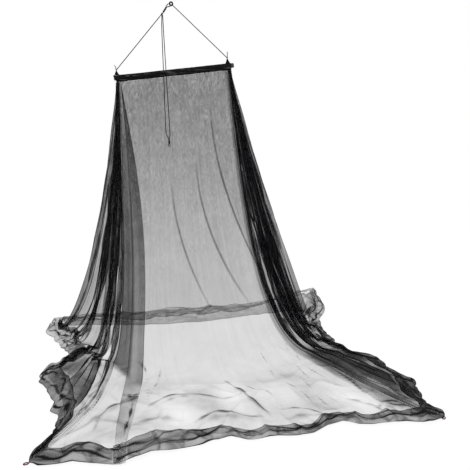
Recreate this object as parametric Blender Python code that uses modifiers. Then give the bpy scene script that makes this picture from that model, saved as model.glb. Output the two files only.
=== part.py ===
"""Mosquito net canopy, hung from a spreader bar on a V of cord, its hem spread out over the floor.

The frame: metres, +X to the right along the bar, +Y to the rear panel, +Z up. The origin is the
hanging point, in the top of the cord loop, and the floor lies at FLOOR_Z. The net is four panels of
cloth. Each is lofted through ribs: a rib leaves the seam under the bar, hangs like a chain to the
place where it touches the floor, runs out over the floor and ends in a rolled hem.
"""

import math
from collections import namedtuple

import bmesh
import bpy
from mathutils import Vector

# Driving dimensions
HANG_HEIGHT = 2.248  # from the hanging point down to the floor
BAR_LENGTH = 0.800
BAR_DIAMETER = 0.030
BAR_RIM = 0.0012  # the bevel round its ends
BAR_TILT = math.radians(6.1)  # the right end hangs higher
BAR_CENTRE = Vector((0.0085, 0.0, -0.4185))
SLEEVE_LEFT = -0.393  # the sleeve's ends, as places along X
SLEEVE_RIGHT = 0.388
SLEEVE_SLANT = 0.018  # how much further in the lower edge of its left end lies
SLEEVE_RADIUS = 0.0160  # middle of the sleeve's wall, over the bar
SLEEVE_WALL = 0.0012
SLEEVE_DROP = 0.027  # from the bar's axis down to the sleeve's closing seam
CLOTH = 0.0012  # the net with its weave's height
CORD = 0.0040  # diameter of the hanging cord
GAP = 0.0003  # what touching pieces keep between them

FLOOR_Z = -HANG_HEIGHT
LIE = CLOTH / 2 + 0.0003  # height of flat cloth's middle over the floor
BAR_AXIS = Vector((math.cos(BAR_TILT), 0.0, math.sin(BAR_TILT)))
HANG_ROWS = 11  # rows of faces from the seam to the floor
FLOOR_ROWS = 10  # rows of faces from there to the hem's edge

# Knots, loops and fittings on the cords
KNOT = 0.010  # the tie knots' diameter
CLEAR = GAP + 0.0002  # what a straight stretch of cord keeps to a knot
TAB_THICKNESS = 0.0036
TAB_FOOT = 0.038  # the tab's width along the sleeve
TAB_CROWN = 0.008  # and at its tip
# Where the cord is tied on: its tab's middle and tip along X, the tab's height and the tail's route.
Tie = namedtuple("Tie", "side tab_x peak_x height tail")
LEFT_TIE = Tie("left", -0.3700, -0.3710, 0.026, ((-0.3740, 0.0, -0.3960), (-0.3800, 0.0, -0.3800)))
RIGHT_TIE = Tie("right", 0.3660, 0.3630, 0.028, ((0.3635, 0.0, -0.3080), (0.3630, 0.0, -0.2890)))
LOOP_RADIUS = 0.0090  # of the ring's middle line
LOOP_WRAP = 0.0090  # thickness of the wrapped cord round the ring
LOOP_CENTRE = Vector((0.0, 0.0, LOOP_WRAP / 2 - LOOP_RADIUS))
SLIP_KNOT = Vector((-0.0600, 0.0, -0.0650))
SLIP_KNOT_SIZE = (0.012, 0.012, 0.018)
SLIP_KNOT_REACH = 0.0088  # from its middle out to the left leg
STOPPER = Vector((-0.0460, -0.0970, -0.8690))
STOPPER_RADIUS = 0.0062
STOPPER_HEIGHT = 0.0300
STOPPER_RIM = 0.0020
END_LOOP_RADIUS = 0.0075
CORNER_CORD = 0.0058
CORNER_LOOP_RADIUS = 0.0080
CORNER_LOOP_Z = FLOOR_Z + CORNER_CORD / 2 + 0.0021  # under the hem's roll, which lifts them
CORNER_LOOP_LEFT = Vector((-0.8020, -1.4080, CORNER_LOOP_Z))
CORNER_LOOP_RIGHT = Vector((1.3550, -1.3870, CORNER_LOOP_Z))

part = bpy.data.collections.new("mosquito_net_canopy")

# One rib of a panel. columns: faces from this rib to the next. top, touch and hem: places seen from
# above. sag: how steeply it hangs. taut: 0 hangs like a chain, 1 runs straight. bow: how far it swings
# to the right half way down. roll: size of the rolled hem. proud: how far it stands in front of its
# neighbours. lump: height of the crumpled cloth on the floor. lift: height of its hem. bend: how far
# its run over the floor swings to the right half way out.
Rib = namedtuple("Rib", "columns top_x top_y touch_x touch_y hem_x hem_y sag taut bow roll proud lump lift bend")

FRONT_RIBS = (
    Rib(4, -0.3565, -0.0009, -0.47, -0.53, -0.790, -1.410, 2.7, 0.0, 0.000, 0.6, 0.000, 0.020, 0.000, 0.105),
    Rib(2, -0.3520, -0.0009, -0.33, -0.74, -0.375, -1.440, 2.7, 0.0, 0.050, 0.65, 0.000, 0.004, 0.000, -0.010),
    Rib(2, -0.3480, -0.0009, -0.28, -0.80, -0.345, -1.440, 2.7, 0.0, 0.086, 0.65, 0.001, 0.004, 0.000, 0.008),
    Rib(2, -0.3465, -0.0009, -0.38, -0.79, -0.385, -1.450, 2.7, 0.0, 0.030, 0.65, 0.014, 0.004, 0.000, 0.000),
    Rib(4, -0.3050, -0.0009, -0.20, -0.82, -0.18, -1.42, 2.7, 0.0, 0.030, 0.65, 0.006, 0.020, 0.000, 0.000),
    Rib(4, -0.1200, -0.0009, 0.05, -0.86, 0.12, -1.36, 2.7, 0.0, 0.000, 0.45, 0.000, 0.035, 0.000, 0.000),
    Rib(3, 0.0800, -0.0009, 0.28, -0.88, 0.34, -1.43, 2.7, 0.0, 0.000, 0.4, 0.000, 0.020, 0.000, 0.000),
    Rib(3, 0.2000, -0.0009, 0.48, -0.86, 0.65, -1.38, 2.7, 0.0, 0.000, 0.4, 0.000, 0.030, 0.000, 0.000),
    Rib(4, 0.2950, -0.0009, 0.66, -0.78, 0.96, -1.37, 2.7, 0.0, 0.000, 0.5, 0.000, 0.020, 0.000, -0.030),
    Rib(0, 0.3665, -0.0009, 0.815, -0.595, 1.350, -1.395, 2.5, 0.0, 0.000, 0.7, 0.000, 0.015, 0.000, -0.060),
)
REAR_RIBS = (
    Rib(4, 0.3580, 0.0009, 0.925, 0.050, 1.135, 0.273, 1.2, 0.9, 0.000, 0.5, 0.000, 0.115, 0.085, 0.000),
    Rib(4, 0.2200, 0.0009, 0.50, 0.01, 0.62, 0.20, 2.2, 0.2, 0.000, 0.9, 0.000, 0.012, 0.000, 0.000),
    Rib(4, 0.0200, 0.0009, 0.12, -0.04, 0.20, 0.18, 2.6, 0.0, 0.000, 1.1, 0.000, 0.012, 0.000, 0.000),
    Rib(4, -0.2000, 0.0009, -0.34, -0.02, -0.38, 0.17, 2.6, 0.0, 0.000, 0.9, 0.000, 0.012, 0.000, 0.000),
    Rib(0, -0.3480, 0.0009, -0.860, 0.050, -0.985, 0.175, 1.9, 0.25, 0.000, 0.6, 0.000, 0.070, 0.000, 0.000),
)
LEFT_RIBS = (
    Rib(6, -0.3580, 0.0130, -0.8612, 0.0488, -0.9862, 0.1738, 1.9, 0.25, 0.000, 0.6, 0.000, 0.070, 0.000, 0.000),
    Rib(6, -0.3583, 0.0070, -0.77, -0.10, -0.880, -0.20, 2.0, 0.2, 0.000, 0.7, 0.000, 0.050, 0.000, 0.000),
    Rib(6, -0.3586, 0.0010, -0.64, -0.28, -0.70, -0.44, 2.4, 0.0, 0.000, 0.7, 0.000, 0.020, 0.000, 0.000),
    Rib(6, -0.3590, -0.0050, -0.57, -0.42, -0.855, -0.70, 2.5, 0.0, 0.000, 0.8, 0.000, 0.070, 0.000, 0.020),
    Rib(6, -0.3595, -0.0110, -0.52, -0.50, -0.690, -1.09, 2.6, 0.0, 0.000, 0.7, 0.000, 0.040, 0.000, 0.070),
    Rib(0, -0.3600, -0.0170, -0.4715, -0.5295, -0.7915, -1.4090, 2.7, 0.0, 0.000, 0.6, 0.000, 0.020, 0.000, 0.105),
)
RIGHT_RIBS = (
    Rib(6, 0.3680, 0.0130, 0.9262, 0.0488, 1.1362, 0.2718, 1.2, 0.9, 0.000, 0.5, 0.000, 0.115, 0.085, 0.000),
    Rib(6, 0.3683, 0.0070, 0.90, -0.14, 1.03, -0.22, 1.4, 0.7, 0.000, 0.6, 0.000, 0.020, 0.000, 0.000),
    Rib(6, 0.3686, 0.0010, 0.89, -0.34, 1.03, -0.55, 1.8, 0.5, 0.000, 0.7, 0.000, 0.040, 0.000, 0.000),
    Rib(6, 0.3690, -0.0050, 0.88, -0.48, 1.225, -0.84, 2.1, 0.3, 0.000, 0.7, 0.000, 0.030, 0.000, -0.020),
    Rib(6, 0.3695, -0.0110, 0.85, -0.56, 1.30, -1.13, 2.4, 0.1, 0.000, 0.7, 0.000, 0.020, 0.000, -0.040),
    Rib(0, 0.3700, -0.0170, 0.8175, -0.5925, 1.3525, -1.3925, 2.5, 0.0, 0.000, 0.7, 0.000, 0.015, 0.000, -0.060),
)

# The rolled hem's section, from the floor cloth round the nose and back in between its own layers.
Turn = namedtuple("Turn", "back lift")
HEM_ROLL = (
    Turn(0.160, 0.0010),
    Turn(0.050, 0.0010),
    Turn(0.000, 0.0140),
    Turn(0.030, 0.0310),
    Turn(0.120, 0.0300),
    Turn(0.165, 0.0230),
    Turn(0.140, 0.0150),
    Turn(0.045, 0.0165),
)

# How much further out the front hem lies than its ribs say, from one place along X to the next.
Wave = namedtuple("Wave", "x out")
FRONT_WAVES = (
    Wave(-0.790, 0.000),
    Wave(-0.735, 0.030),
    Wave(-0.660, 0.023),
    Wave(-0.585, 0.009),
    Wave(-0.512, 0.027),
    Wave(-0.437, 0.040),
    Wave(-0.360, 0.038),
    Wave(-0.285, 0.007),
    Wave(-0.210, -0.007),
    Wave(-0.130, 0.014),
    Wave(-0.050, 0.027),
    Wave(0.030, 0.034),
    Wave(0.115, 0.020),
    Wave(0.195, -0.018),
    Wave(0.270, -0.005),
    Wave(0.350, -0.013),
    Wave(0.437, -0.018),
    Wave(0.525, 0.000),
    Wave(0.615, 0.012),
    Wave(0.705, -0.014),
    Wave(0.795, -0.024),
    Wave(0.885, 0.018),
    Wave(0.972, 0.030),
    Wave(1.060, 0.020),
    Wave(1.150, 0.014),
    Wave(1.240, 0.030),
    Wave(1.310, 0.018),
    Wave(1.350, 0.000),
)

# The pleats of a gathered side stand out from its ribs: how many, and their depth at the seam, at
# two places on the way down and at the hem.
PLEATS = 4.5
PLEAT_DEPTH = (0.016, 0.060, 0.066, 0.030)
PLEAT_FADE = 0.10  # share of a panel's width over which its outer pleats run out

# A sweeping crease in the front panel, from one place along X and share of the way down to another.
Crease = namedtuple("Crease", "start_x start_down end_x end_down width depth")
FRONT_CREASES = (
    Crease(-0.04, 0.34, 0.19, 0.76, 0.035, 0.016),
    Crease(0.13, 0.28, 0.46, 0.76, 0.040, 0.018),
    Crease(0.24, 0.10, 0.64, 0.72, 0.045, 0.020),
)
CREASE_SWEEP = 1.9  # creases run down first and then turn to the right

# The cords' routes, chosen by eye. The pull cord's strands hang in front of the bar and the net.
HOIST_ROUTE_A = (
    (-0.0158, 0.0, -0.0038),
    (-0.0228, 0.0, -0.0098),
    (-0.0310, 0.0, -0.0202),
    (-0.0430, 0.0, -0.0385),
    (-0.0553, 0.0, -0.0568),
)
HOIST_ROUTE_B = (
    (-0.0040, 0.0, -0.0199),
    (-0.0140, 0.0, -0.0215),
    (-0.0262, 0.0, -0.0248),
    (-0.0385, 0.0, -0.0415),
    (-0.0513, 0.0, -0.0600),
)
PULL_ROUTE_A = (
    (-0.0612, -0.0030, -0.0728),
    (-0.0650, -0.0080, -0.1500),
    (-0.0655, -0.0170, -0.2800),
    (-0.0650, -0.0255, -0.4000),
    (-0.0650, -0.0290, -0.4600),
    (-0.0655, -0.0400, -0.5600),
    (-0.0660, -0.0600, -0.6800),
    (-0.0655, -0.0820, -0.7900),
    (-0.0600, -0.0900, -0.8250),
    (-0.0500, -0.0955, -0.8460),
    (-0.0490, -0.0970, -0.8533),
)
PULL_ROUTE_B = (
    (-0.0560, -0.0030, -0.0712),
    (-0.0550, -0.0080, -0.1500),
    (-0.0520, -0.0170, -0.2800),
    (-0.0490, -0.0255, -0.4000),
    (-0.0475, -0.0290, -0.4600),
    (-0.0450, -0.0400, -0.5600),
    (-0.0420, -0.0600, -0.6800),
    (-0.0395, -0.0820, -0.7900),
    (-0.0395, -0.0900, -0.8250),
    (-0.0425, -0.0955, -0.8460),
    (-0.0430, -0.0970, -0.8533),
)


def mixed(first, second, share):
    """The value at a share of the way from first to second."""
    return first + (second - first) * share


def smooth_curve(values, place):
    """The value at place, 0 to len(values) - 1, on a smooth curve through evenly spaced values."""
    last = len(values) - 1
    step = min(int(place), last - 1)
    share = place - step
    before, start = values[max(step - 1, 0)], values[step]
    end, after = values[step + 1], values[min(step + 2, last)]
    return (
        start
        + (end - before) * share / 2
        + (before * 2 - start * 5 + end * 4 - after) * share**2 / 2
        + (start * 3 - before - end * 3 + after) * share**3 / 2
    )


def bar_z(x):
    """Height of the bar's axis at a place along X."""
    return BAR_CENTRE.z + (x - BAR_CENTRE.x) * math.tan(BAR_TILT)


def seam_z(x):
    """Height at which the net starts, just under the sleeve."""
    return bar_z(x) - (SLEEVE_DROP + SLEEVE_WALL / 2) / math.cos(BAR_TILT) - GAP - 0.0001


def floor_path(rib):
    """The cloth's section on the floor, as distance from where it touches and height."""
    reach = math.hypot(rib.hem_x - rib.touch_x, rib.hem_y - rib.touch_y)
    flat = max(reach - HEM_ROLL[0].back * rib.roll, 0.02)
    path = [
        Vector((0.0, LIE)),
        Vector((flat * 0.35, LIE + rib.lump)),
        Vector((flat * 0.70, LIE + rib.lump * 0.5 + rib.lift * 0.4)),
    ]
    for turn in HEM_ROLL:
        path.append(Vector((reach - turn.back * rib.roll, LIE + rib.lift + turn.lift * rib.roll)))
    return path


def rib_point(rib, down):
    """Place on a rib. down is 0 at the seam, 1 where it touches the floor and 2 at the hem's edge."""
    top = Vector((rib.top_x, rib.top_y, seam_z(rib.top_x)))
    touch = Vector((rib.touch_x, rib.touch_y, FLOOR_Z + LIE))
    if down <= 1:
        reach = 1 - math.asinh((1 - down) * math.sinh(rib.sag)) / rib.sag
        rise = (math.cosh(rib.sag * (1 - reach)) - 1) / (math.cosh(rib.sag) - 1)
        reach = mixed(reach, down, rib.taut)
        rise = mixed(rise, 1 - down, rib.taut)
        x = mixed(top.x, touch.x, reach) + rib.bow * math.sin(math.pi * down)
        return Vector((x, mixed(top.y, touch.y, reach), mixed(touch.z, top.z, rise)))
    path = floor_path(rib)
    along, height = smooth_curve(path, (down - 1) * (len(path) - 1))
    run = Vector((rib.hem_x - rib.touch_x, rib.hem_y - rib.touch_y, 0.0))
    swing = rib.bend * math.sin(math.pi * min(along / run.length, 1.0))
    return touch + run.normalized() * along + Vector((swing, 0.0, height - LIE))


def rib_at(ribs, across):
    """The rib at a share of a panel's width, blended from the table's rows."""
    column = across * sum(rib.columns for rib in ribs)
    row = 0
    while row < len(ribs) - 2 and column >= ribs[row].columns:
        column -= ribs[row].columns
        row += 1
    place = row + column / ribs[row].columns
    return Rib(*(smooth_curve(field, place) for field in zip(*ribs)))


def pleat_offset(across, down):
    """How far a gathered side's cloth stands out from its ribs in its pleats."""
    depth = smooth_curve(PLEAT_DEPTH, down * 1.5)
    fade = min(across / PLEAT_FADE, (1 - across) / PLEAT_FADE, 1.0)
    uneven = across + 0.018 * math.sin(across * 9.0 + 1.0)
    return depth * fade * (0.5 - 0.5 * math.cos(2 * math.pi * PLEATS * uneven))


def wave_offset(waves, x, down):
    """How far the floor cloth near a waving hem lies outside its ribs."""
    if not waves or down <= 1.1:
        return 0.0
    place = 0
    while place < len(waves) - 2 and x > waves[place + 1].x:
        place += 1
    near, far = waves[place], waves[place + 1]
    share = min(max((x - near.x) / (far.x - near.x), 0.0), 1.0)
    return mixed(near.out, far.out, share) * min((down - 1.1) / 0.3, 1.0)


def crease_offset(creases, x, down):
    """How far a flat panel stands out along its sweeping creases."""
    offset = 0.0
    for crease in creases:
        share = (down - crease.start_down) / (crease.end_down - crease.start_down)
        if 0 < share < 1:
            middle = mixed(crease.start_x, crease.end_x, share**CREASE_SWEEP)
            height = crease.depth * math.sin(math.pi * share)
            offset += height * math.exp(-(((x - middle) / crease.width) ** 2))
    return offset


def cloth_panel(name, ribs, outward, pleated, creases, waves, material):
    """One panel of the net, a sheet lofted through its ribs and given the cloth's thickness."""
    columns = sum(rib.columns for rib in ribs)
    rows = HANG_ROWS + FLOOR_ROWS
    bm = bmesh.new()
    bmesh.ops.create_grid(bm, x_segments=columns, y_segments=rows, size=0.5)
    for vert in bm.verts:
        across = min(max(vert.co.x + 0.5, 0.0), 1.0)
        row = round((0.5 - vert.co.y) * rows)
        down = row / HANG_ROWS if row <= HANG_ROWS else 1 + (row - HANG_ROWS) / FLOOR_ROWS
        rib = rib_at(ribs, across)
        place = rib_point(rib, down)
        lying = min(max(down * 1.25 - 0.5, 0.0), 1.0)
        front = (outward * (1 - lying) + Vector((0.0, 0.0, lying))).normalized()
        place += front * rib.proud * (0.3 + 0.7 * min(down, 1.0))
        standing = pleat_offset(across, down) if pleated else 0.0
        standing += crease_offset(creases, place.x, down)
        standing += wave_offset(waves, place.x, down) * min(across / 0.03, (1 - across) / 0.03, 1.0)
        place += outward * standing
        place.z += (seam_z(place.x) - seam_z(place.x - outward.x * standing)) * max(1 - down, 0.0)
        place.z = max(place.z, FLOOR_Z + LIE)
        vert.co = place
    bmesh.ops.recalc_face_normals(bm, faces=bm.faces)
    obj = add_mesh(name, bm, material)
    wall = obj.modifiers.new("Thickness", "SOLIDIFY")
    wall.thickness = CLOTH
    wall.offset = 0.0
    return obj


def add_mesh(name, bm, material):
    """A new object in the part's collection from a bmesh, shaded smooth."""
    mesh = bpy.data.meshes.new(name)
    bm.to_mesh(mesh)
    bm.free()
    mesh.materials.append(material)
    mesh.shade_smooth()
    obj = bpy.data.objects.new(name, mesh)
    part.objects.link(obj)
    return obj


def keep(obj, name, material):
    """Names a primitive that an operator has just added and moves it into the part's collection."""
    obj.name = name
    obj.data.name = name
    obj.data.materials.append(material)
    for collection in list(obj.users_collection):
        collection.objects.unlink(obj)
    part.objects.link(obj)
    obj.data.shade_smooth()
    obj.data.set_sharp_from_angle(angle=math.radians(40))
    return obj


def ring(name, radius, cord_radius, segments, sides, material):
    """A closed loop of cord, lying flat."""
    bpy.ops.mesh.primitive_torus_add(
        major_radius=radius, minor_radius=cord_radius, major_segments=segments, minor_segments=sides
    )
    return keep(bpy.context.object, name, material)


def ball(name, centre, size, lean, material, segments=10):
    """A knot or bead: a sphere stretched to its size and leaning about Y."""
    bpy.ops.mesh.primitive_uv_sphere_add(segments=segments, ring_count=7, radius=0.5)
    obj = keep(bpy.context.object, name, material)
    obj.scale = size
    obj.rotation_euler = (0.0, lean, 0.0)
    obj.location = centre
    return obj


def cord(name, route, diameter, material, spacing=3.0):
    """A cord: a round tube on a smooth curve read through its route's points."""
    points = [Vector(place) for place in route]
    length = sum((b - a).length for a, b in zip(points, points[1:]))
    count = max(round(length / (diameter * spacing)), 2) if len(points) > 2 else 1
    places = [smooth_curve(points, (len(points) - 1) * step / count) for step in range(count + 1)]
    curve = bpy.data.curves.new(name, "CURVE")
    curve.dimensions = "3D"
    curve.bevel_depth = diameter / 2
    curve.bevel_resolution = 2
    curve.use_fill_caps = True
    spline = curve.splines.new("POLY")
    spline.points.add(len(places) - 1)
    for point, place in zip(spline.points, places):
        point.co = (*place, 1.0)
    curve.materials.append(material)
    obj = bpy.data.objects.new(name, curve)
    part.objects.link(obj)
    return obj


def surface(name, colour, roughness, metallic=0.0):
    """A plain material with a colour, a roughness and a metallic value."""
    material = bpy.data.materials.new(name)
    material.use_nodes = True
    shader = material.node_tree.nodes["Principled BSDF"]
    shader.inputs["Base Color"].default_value = (*colour, 1.0)
    shader.inputs["Roughness"].default_value = roughness
    shader.inputs["Metallic"].default_value = metallic
    return material


def spreader_bar(material):
    """The round bar, hanging with its right end higher."""
    bpy.ops.mesh.primitive_cylinder_add(vertices=20, radius=BAR_DIAMETER / 2, depth=BAR_LENGTH)
    obj = keep(bpy.context.object, "spreader_bar", material)
    obj.rotation_euler = (0.0, math.pi / 2 - BAR_TILT, 0.0)
    obj.location = BAR_CENTRE
    rim = obj.modifiers.new("Rim", "BEVEL")
    rim.width = BAR_RIM
    rim.segments = 1
    rim.limit_method = "ANGLE"
    return obj


def bar_sleeve(material):
    """The closed cloth sleeve round the bar: a drop-shaped tube whose seam hangs under the bar.

    Its left end is cut on a slant, its lower edge drawn in by the gathered net.
    """
    start = BAR_CENTRE + BAR_AXIS * ((SLEEVE_LEFT - BAR_CENTRE.x) / BAR_AXIS.x)
    length = (SLEEVE_RIGHT - SLEEVE_LEFT) / BAR_AXIS.x
    upward = Vector((-BAR_AXIS.z, 0.0, BAR_AXIS.x))
    tangent = math.acos(SLEEVE_RADIUS / SLEEVE_DROP)
    arc = 2 * (math.pi - tangent)
    segments = 20
    bm = bmesh.new()
    outline = []
    for step in range(segments + 1):
        angle = math.pi / 2 - arc / 2 + arc * step / segments
        outline.append((SLEEVE_RADIUS * math.cos(angle), SLEEVE_RADIUS * math.sin(angle)))
    outline.append((0.0, -SLEEVE_DROP))
    ring = [bm.verts.new(start + Vector((0.0, -y, 0.0)) + upward * z) for y, z in outline]
    slants = [SLEEVE_SLANT * (SLEEVE_RADIUS - z) / (SLEEVE_RADIUS + SLEEVE_DROP) for _, z in outline]
    edges = [bm.edges.new((a, b)) for a, b in zip(ring, ring[1:] + ring[:1])]
    drawn = bmesh.ops.extrude_edge_only(bm, edges=edges)["geom"]
    moved = [item for item in drawn if isinstance(item, bmesh.types.BMVert)]
    bmesh.ops.translate(bm, verts=moved, vec=BAR_AXIS * length)
    for vert, slant in zip(ring, slants):
        vert.co += BAR_AXIS * slant
    bmesh.ops.recalc_face_normals(bm, faces=bm.faces)
    obj = add_mesh("bar_sleeve", bm, material)
    wall = obj.modifiers.new("Thickness", "SOLIDIFY")
    wall.thickness = SLEEVE_WALL
    wall.offset = 0.0
    return obj


def hanging_tab(tie, material):
    """A peak of sleeve cloth pulled up by the cord, standing on the sleeve over the bar. Gives its tip."""
    base = bar_z(tie.tab_x) + (SLEEVE_RADIUS + SLEEVE_WALL / 2 + GAP) / math.cos(BAR_TILT)
    slope = math.tan(BAR_TILT)
    peak = tie.peak_x - tie.tab_x
    outline = (
        (-TAB_FOOT / 2, -TAB_FOOT / 2 * slope),
        (TAB_FOOT / 2, TAB_FOOT / 2 * slope),
        (TAB_FOOT * 0.28 + peak * 0.3, tie.height * 0.35),
        (peak + TAB_CROWN / 2, tie.height),
        (peak - TAB_CROWN / 2, tie.height),
        (-TAB_FOOT * 0.28 + peak * 0.3, tie.height * 0.35),
    )
    name = f"hanging_tab_{tie.side}"
    curve = bpy.data.curves.new(name, "CURVE")
    curve.dimensions = "2D"
    curve.fill_mode = "BOTH"
    curve.extrude = TAB_THICKNESS / 2
    spline = curve.splines.new("POLY")
    spline.points.add(len(outline) - 1)
    for point, (along, up) in zip(spline.points, outline):
        point.co = (along, up, 0.0, 1.0)
    spline.use_cyclic_u = True
    curve.materials.append(material)
    obj = bpy.data.objects.new(name, curve)
    obj.rotation_euler = (math.pi / 2, 0.0, 0.0)
    obj.location = (tie.tab_x, 0.0, base)
    part.objects.link(obj)
    return Vector((tie.peak_x, 0.0, base + tie.height))


def tied_end(tie, sleeve_material, cord_material):
    """One end of the bar: its tab, the knot on it and the cord's loose end. Gives the knot's centre."""
    peak = hanging_tab(tie, sleeve_material)
    knot = peak + Vector((0.0, 0.0, KNOT / 2 + GAP))
    ball(f"tie_knot_{tie.side}", knot, (KNOT, KNOT, KNOT), 0.0, cord_material)
    start = knot + (Vector(tie.tail[0]) - knot).normalized() * (KNOT / 2 + GAP)
    cord(f"tie_tail_{tie.side}", (start, *tie.tail), CORD * 0.9, cord_material)
    return knot


def between(start, start_radius, end, end_radius):
    """The stretch of cord between two knots, ending just short of both."""
    line = (end - start).normalized()
    return start + line * (start_radius + CLEAR), end - line * (end_radius + CLEAR)


def hanging_cords(left_knot, right_knot, material):
    """The V of cord with its loop and slip knot, the hoist strands and the pull cord's two strands."""
    loop = ring("hanging_loop", LOOP_RADIUS, LOOP_WRAP / 2, 20, 10, material)
    loop.rotation_euler = (math.pi / 2, 0.0, 0.0)
    loop.location = LOOP_CENTRE
    ball("slip_knot", SLIP_KNOT, SLIP_KNOT_SIZE, math.radians(40), material)
    loop_reach = LOOP_RADIUS + LOOP_WRAP / 2
    cord("leg_cord_right", between(LOOP_CENTRE, loop_reach, right_knot, KNOT / 2), CORD, material)
    cord("leg_cord_left", between(SLIP_KNOT, SLIP_KNOT_REACH, left_knot, KNOT / 2), CORD, material)
    cord("hoist_cord_a", HOIST_ROUTE_A, CORD, material)
    cord("hoist_cord_b", HOIST_ROUTE_B, CORD, material)
    cord("pull_cord_a", PULL_ROUTE_A, CORD, material)
    cord("pull_cord_b", PULL_ROUTE_B, CORD, material)


def cord_stopper(plastic, rope):
    """The barrel that holds the pull cord's two strands, and the cord's small end loop under it."""
    bpy.ops.mesh.primitive_cylinder_add(vertices=16, radius=STOPPER_RADIUS, depth=STOPPER_HEIGHT)
    barrel = keep(bpy.context.object, "cord_stopper", plastic)
    barrel.location = STOPPER
    rim = barrel.modifiers.new("Rim", "BEVEL")
    rim.width = STOPPER_RIM
    rim.segments = 2
    rim.limit_method = "ANGLE"
    loop = ring("pull_cord_loop", END_LOOP_RADIUS, CORD / 2, 18, 8, rope)
    loop.rotation_euler = (math.pi / 2, 0.0, 0.0)
    loop.location = STOPPER - Vector((0.0, 0.0, STOPPER_HEIGHT / 2 + GAP + END_LOOP_RADIUS + CORD / 2))


def corner_loop(name, centre, turn, material):
    """An oval loop of red cord that hangs flat under a front corner of the rolled hem."""
    obj = ring(name, CORNER_LOOP_RADIUS, CORNER_CORD / 2, 18, 6, material)
    obj.scale = (1.4, 0.8, 1.0)  # drawn out into an oval
    obj.rotation_euler = (0.0, 0.0, turn)
    obj.location = centre
    return obj


def main():
    """Builds every piece of the canopy."""
    for obj in list(bpy.data.objects):
        bpy.data.objects.remove(obj)
    bpy.context.scene.collection.children.link(part)

    net = surface("black net", (0.020, 0.020, 0.021), 0.85)
    band = surface("black band cloth", (0.012, 0.012, 0.013), 0.75)
    rope = surface("black cord", (0.016, 0.016, 0.017), 0.70)
    tube = surface("black bar", (0.020, 0.020, 0.021), 0.45)
    plastic = surface("black plastic", (0.015, 0.015, 0.016), 0.40)
    red = surface("dark red cord", (0.130, 0.010, 0.020), 0.75)

    spreader_bar(tube)
    bar_sleeve(band)
    left_knot = tied_end(LEFT_TIE, band, rope)
    right_knot = tied_end(RIGHT_TIE, band, rope)
    hanging_cords(left_knot, right_knot, rope)
    cord_stopper(plastic, rope)
    cloth_panel("front_panel", FRONT_RIBS, Vector((0.0, -1.0, 0.0)), False, FRONT_CREASES, FRONT_WAVES, net)
    cloth_panel("rear_panel", REAR_RIBS, Vector((0.0, 1.0, 0.0)), False, (), (), net)
    cloth_panel("side_panel_left", LEFT_RIBS, Vector((-1.0, 0.0, 0.0)), True, (), (), net)
    cloth_panel("side_panel_right", RIGHT_RIBS, Vector((1.0, 0.0, 0.0)), True, (), (), net)
    corner_loop("corner_loop_left", CORNER_LOOP_LEFT, math.radians(10), red)
    corner_loop("corner_loop_right", CORNER_LOOP_RIGHT, math.radians(40), red)


main()
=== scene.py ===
"""Looks of the mosquito net canopy: sheer black net on its spreader bar, cords, knots and finishes.

The frame is the part's own: metres, +X to the right along the bar, +Y to the rear, +Z up, with the
origin at the hanging point. The net's panels are drawn again, finer, over the same ribs as their solids.
"""

import logging
import math
from dataclasses import dataclass, fields, replace
from enum import Enum

import bmesh
import bpy
import numpy as np
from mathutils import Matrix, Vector, noise


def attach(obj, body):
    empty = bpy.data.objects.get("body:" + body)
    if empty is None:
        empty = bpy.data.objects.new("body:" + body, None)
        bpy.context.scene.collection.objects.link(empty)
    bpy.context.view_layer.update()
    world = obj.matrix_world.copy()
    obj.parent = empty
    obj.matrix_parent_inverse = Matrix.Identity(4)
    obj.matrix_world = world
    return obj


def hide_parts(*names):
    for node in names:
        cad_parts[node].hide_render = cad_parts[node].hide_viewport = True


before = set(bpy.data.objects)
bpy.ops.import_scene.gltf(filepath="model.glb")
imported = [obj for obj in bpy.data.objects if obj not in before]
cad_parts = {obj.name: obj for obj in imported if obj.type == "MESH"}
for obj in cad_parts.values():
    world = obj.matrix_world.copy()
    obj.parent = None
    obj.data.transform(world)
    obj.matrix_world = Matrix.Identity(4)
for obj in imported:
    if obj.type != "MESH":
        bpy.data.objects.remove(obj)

log = logging.getLogger("canopy")

BODY = "root"

# Sizes shared with the solids
FLOOR_Z = -2.248
BAR_TILT = math.radians(6.1)
BAR_CENTRE = Vector((0.0085, 0.0, -0.4185))
BAR_AXIS = Vector((math.cos(BAR_TILT), 0.0, math.sin(BAR_TILT)))
BAR_UP = Vector((-math.sin(BAR_TILT), 0.0, math.cos(BAR_TILT)))
BAR_RADIUS = 0.0160  # with its sleeve
SLEEVE_DROP = 0.027  # from the bar's axis to the sleeve's seam
SLEEVE_WALL = 0.0012
CLOTH = 0.0012
LIE = CLOTH / 2 + 0.0003
CORD = 0.0040
PLIES = 3  # of a cord, twisted round each other
PLY_DEPTH = 0.10  # of its radius, between two plies
HEM_NOSE = 1.5  # the place down a panel where its hem turns back
CAMERA_PLACE = (-0.102, -3.463, -0.535)  # the photograph's; the net's slant is measured from it too
CRUMPLE_SEED = 5  # keeps the crumples of the cloth the same each time

Grid = np.ndarray
Triple = tuple[float, float, float]
Output = bpy.types.NodeSocket
Piece = bpy.types.Object


class Side(Enum):
    """The way a panel's outer face looks."""

    FRONT = (0.0, -1.0, 0.0)
    REAR = (0.0, 1.0, 0.0)
    LEFT = (-1.0, 0.0, 0.0)
    RIGHT = (1.0, 0.0, 0.0)


# Curves through tables


def mixed(first: Grid, second: Grid, share: Grid) -> Grid:
    """The value at a share of the way from first to second."""
    return first + (second - first) * share


def inner(across: Grid, margin: float) -> Grid:
    """0 at both edges of a panel, and 1 from a margin inwards."""
    return np.clip(np.minimum(across, 1 - across) / margin, 0, 1)


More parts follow.
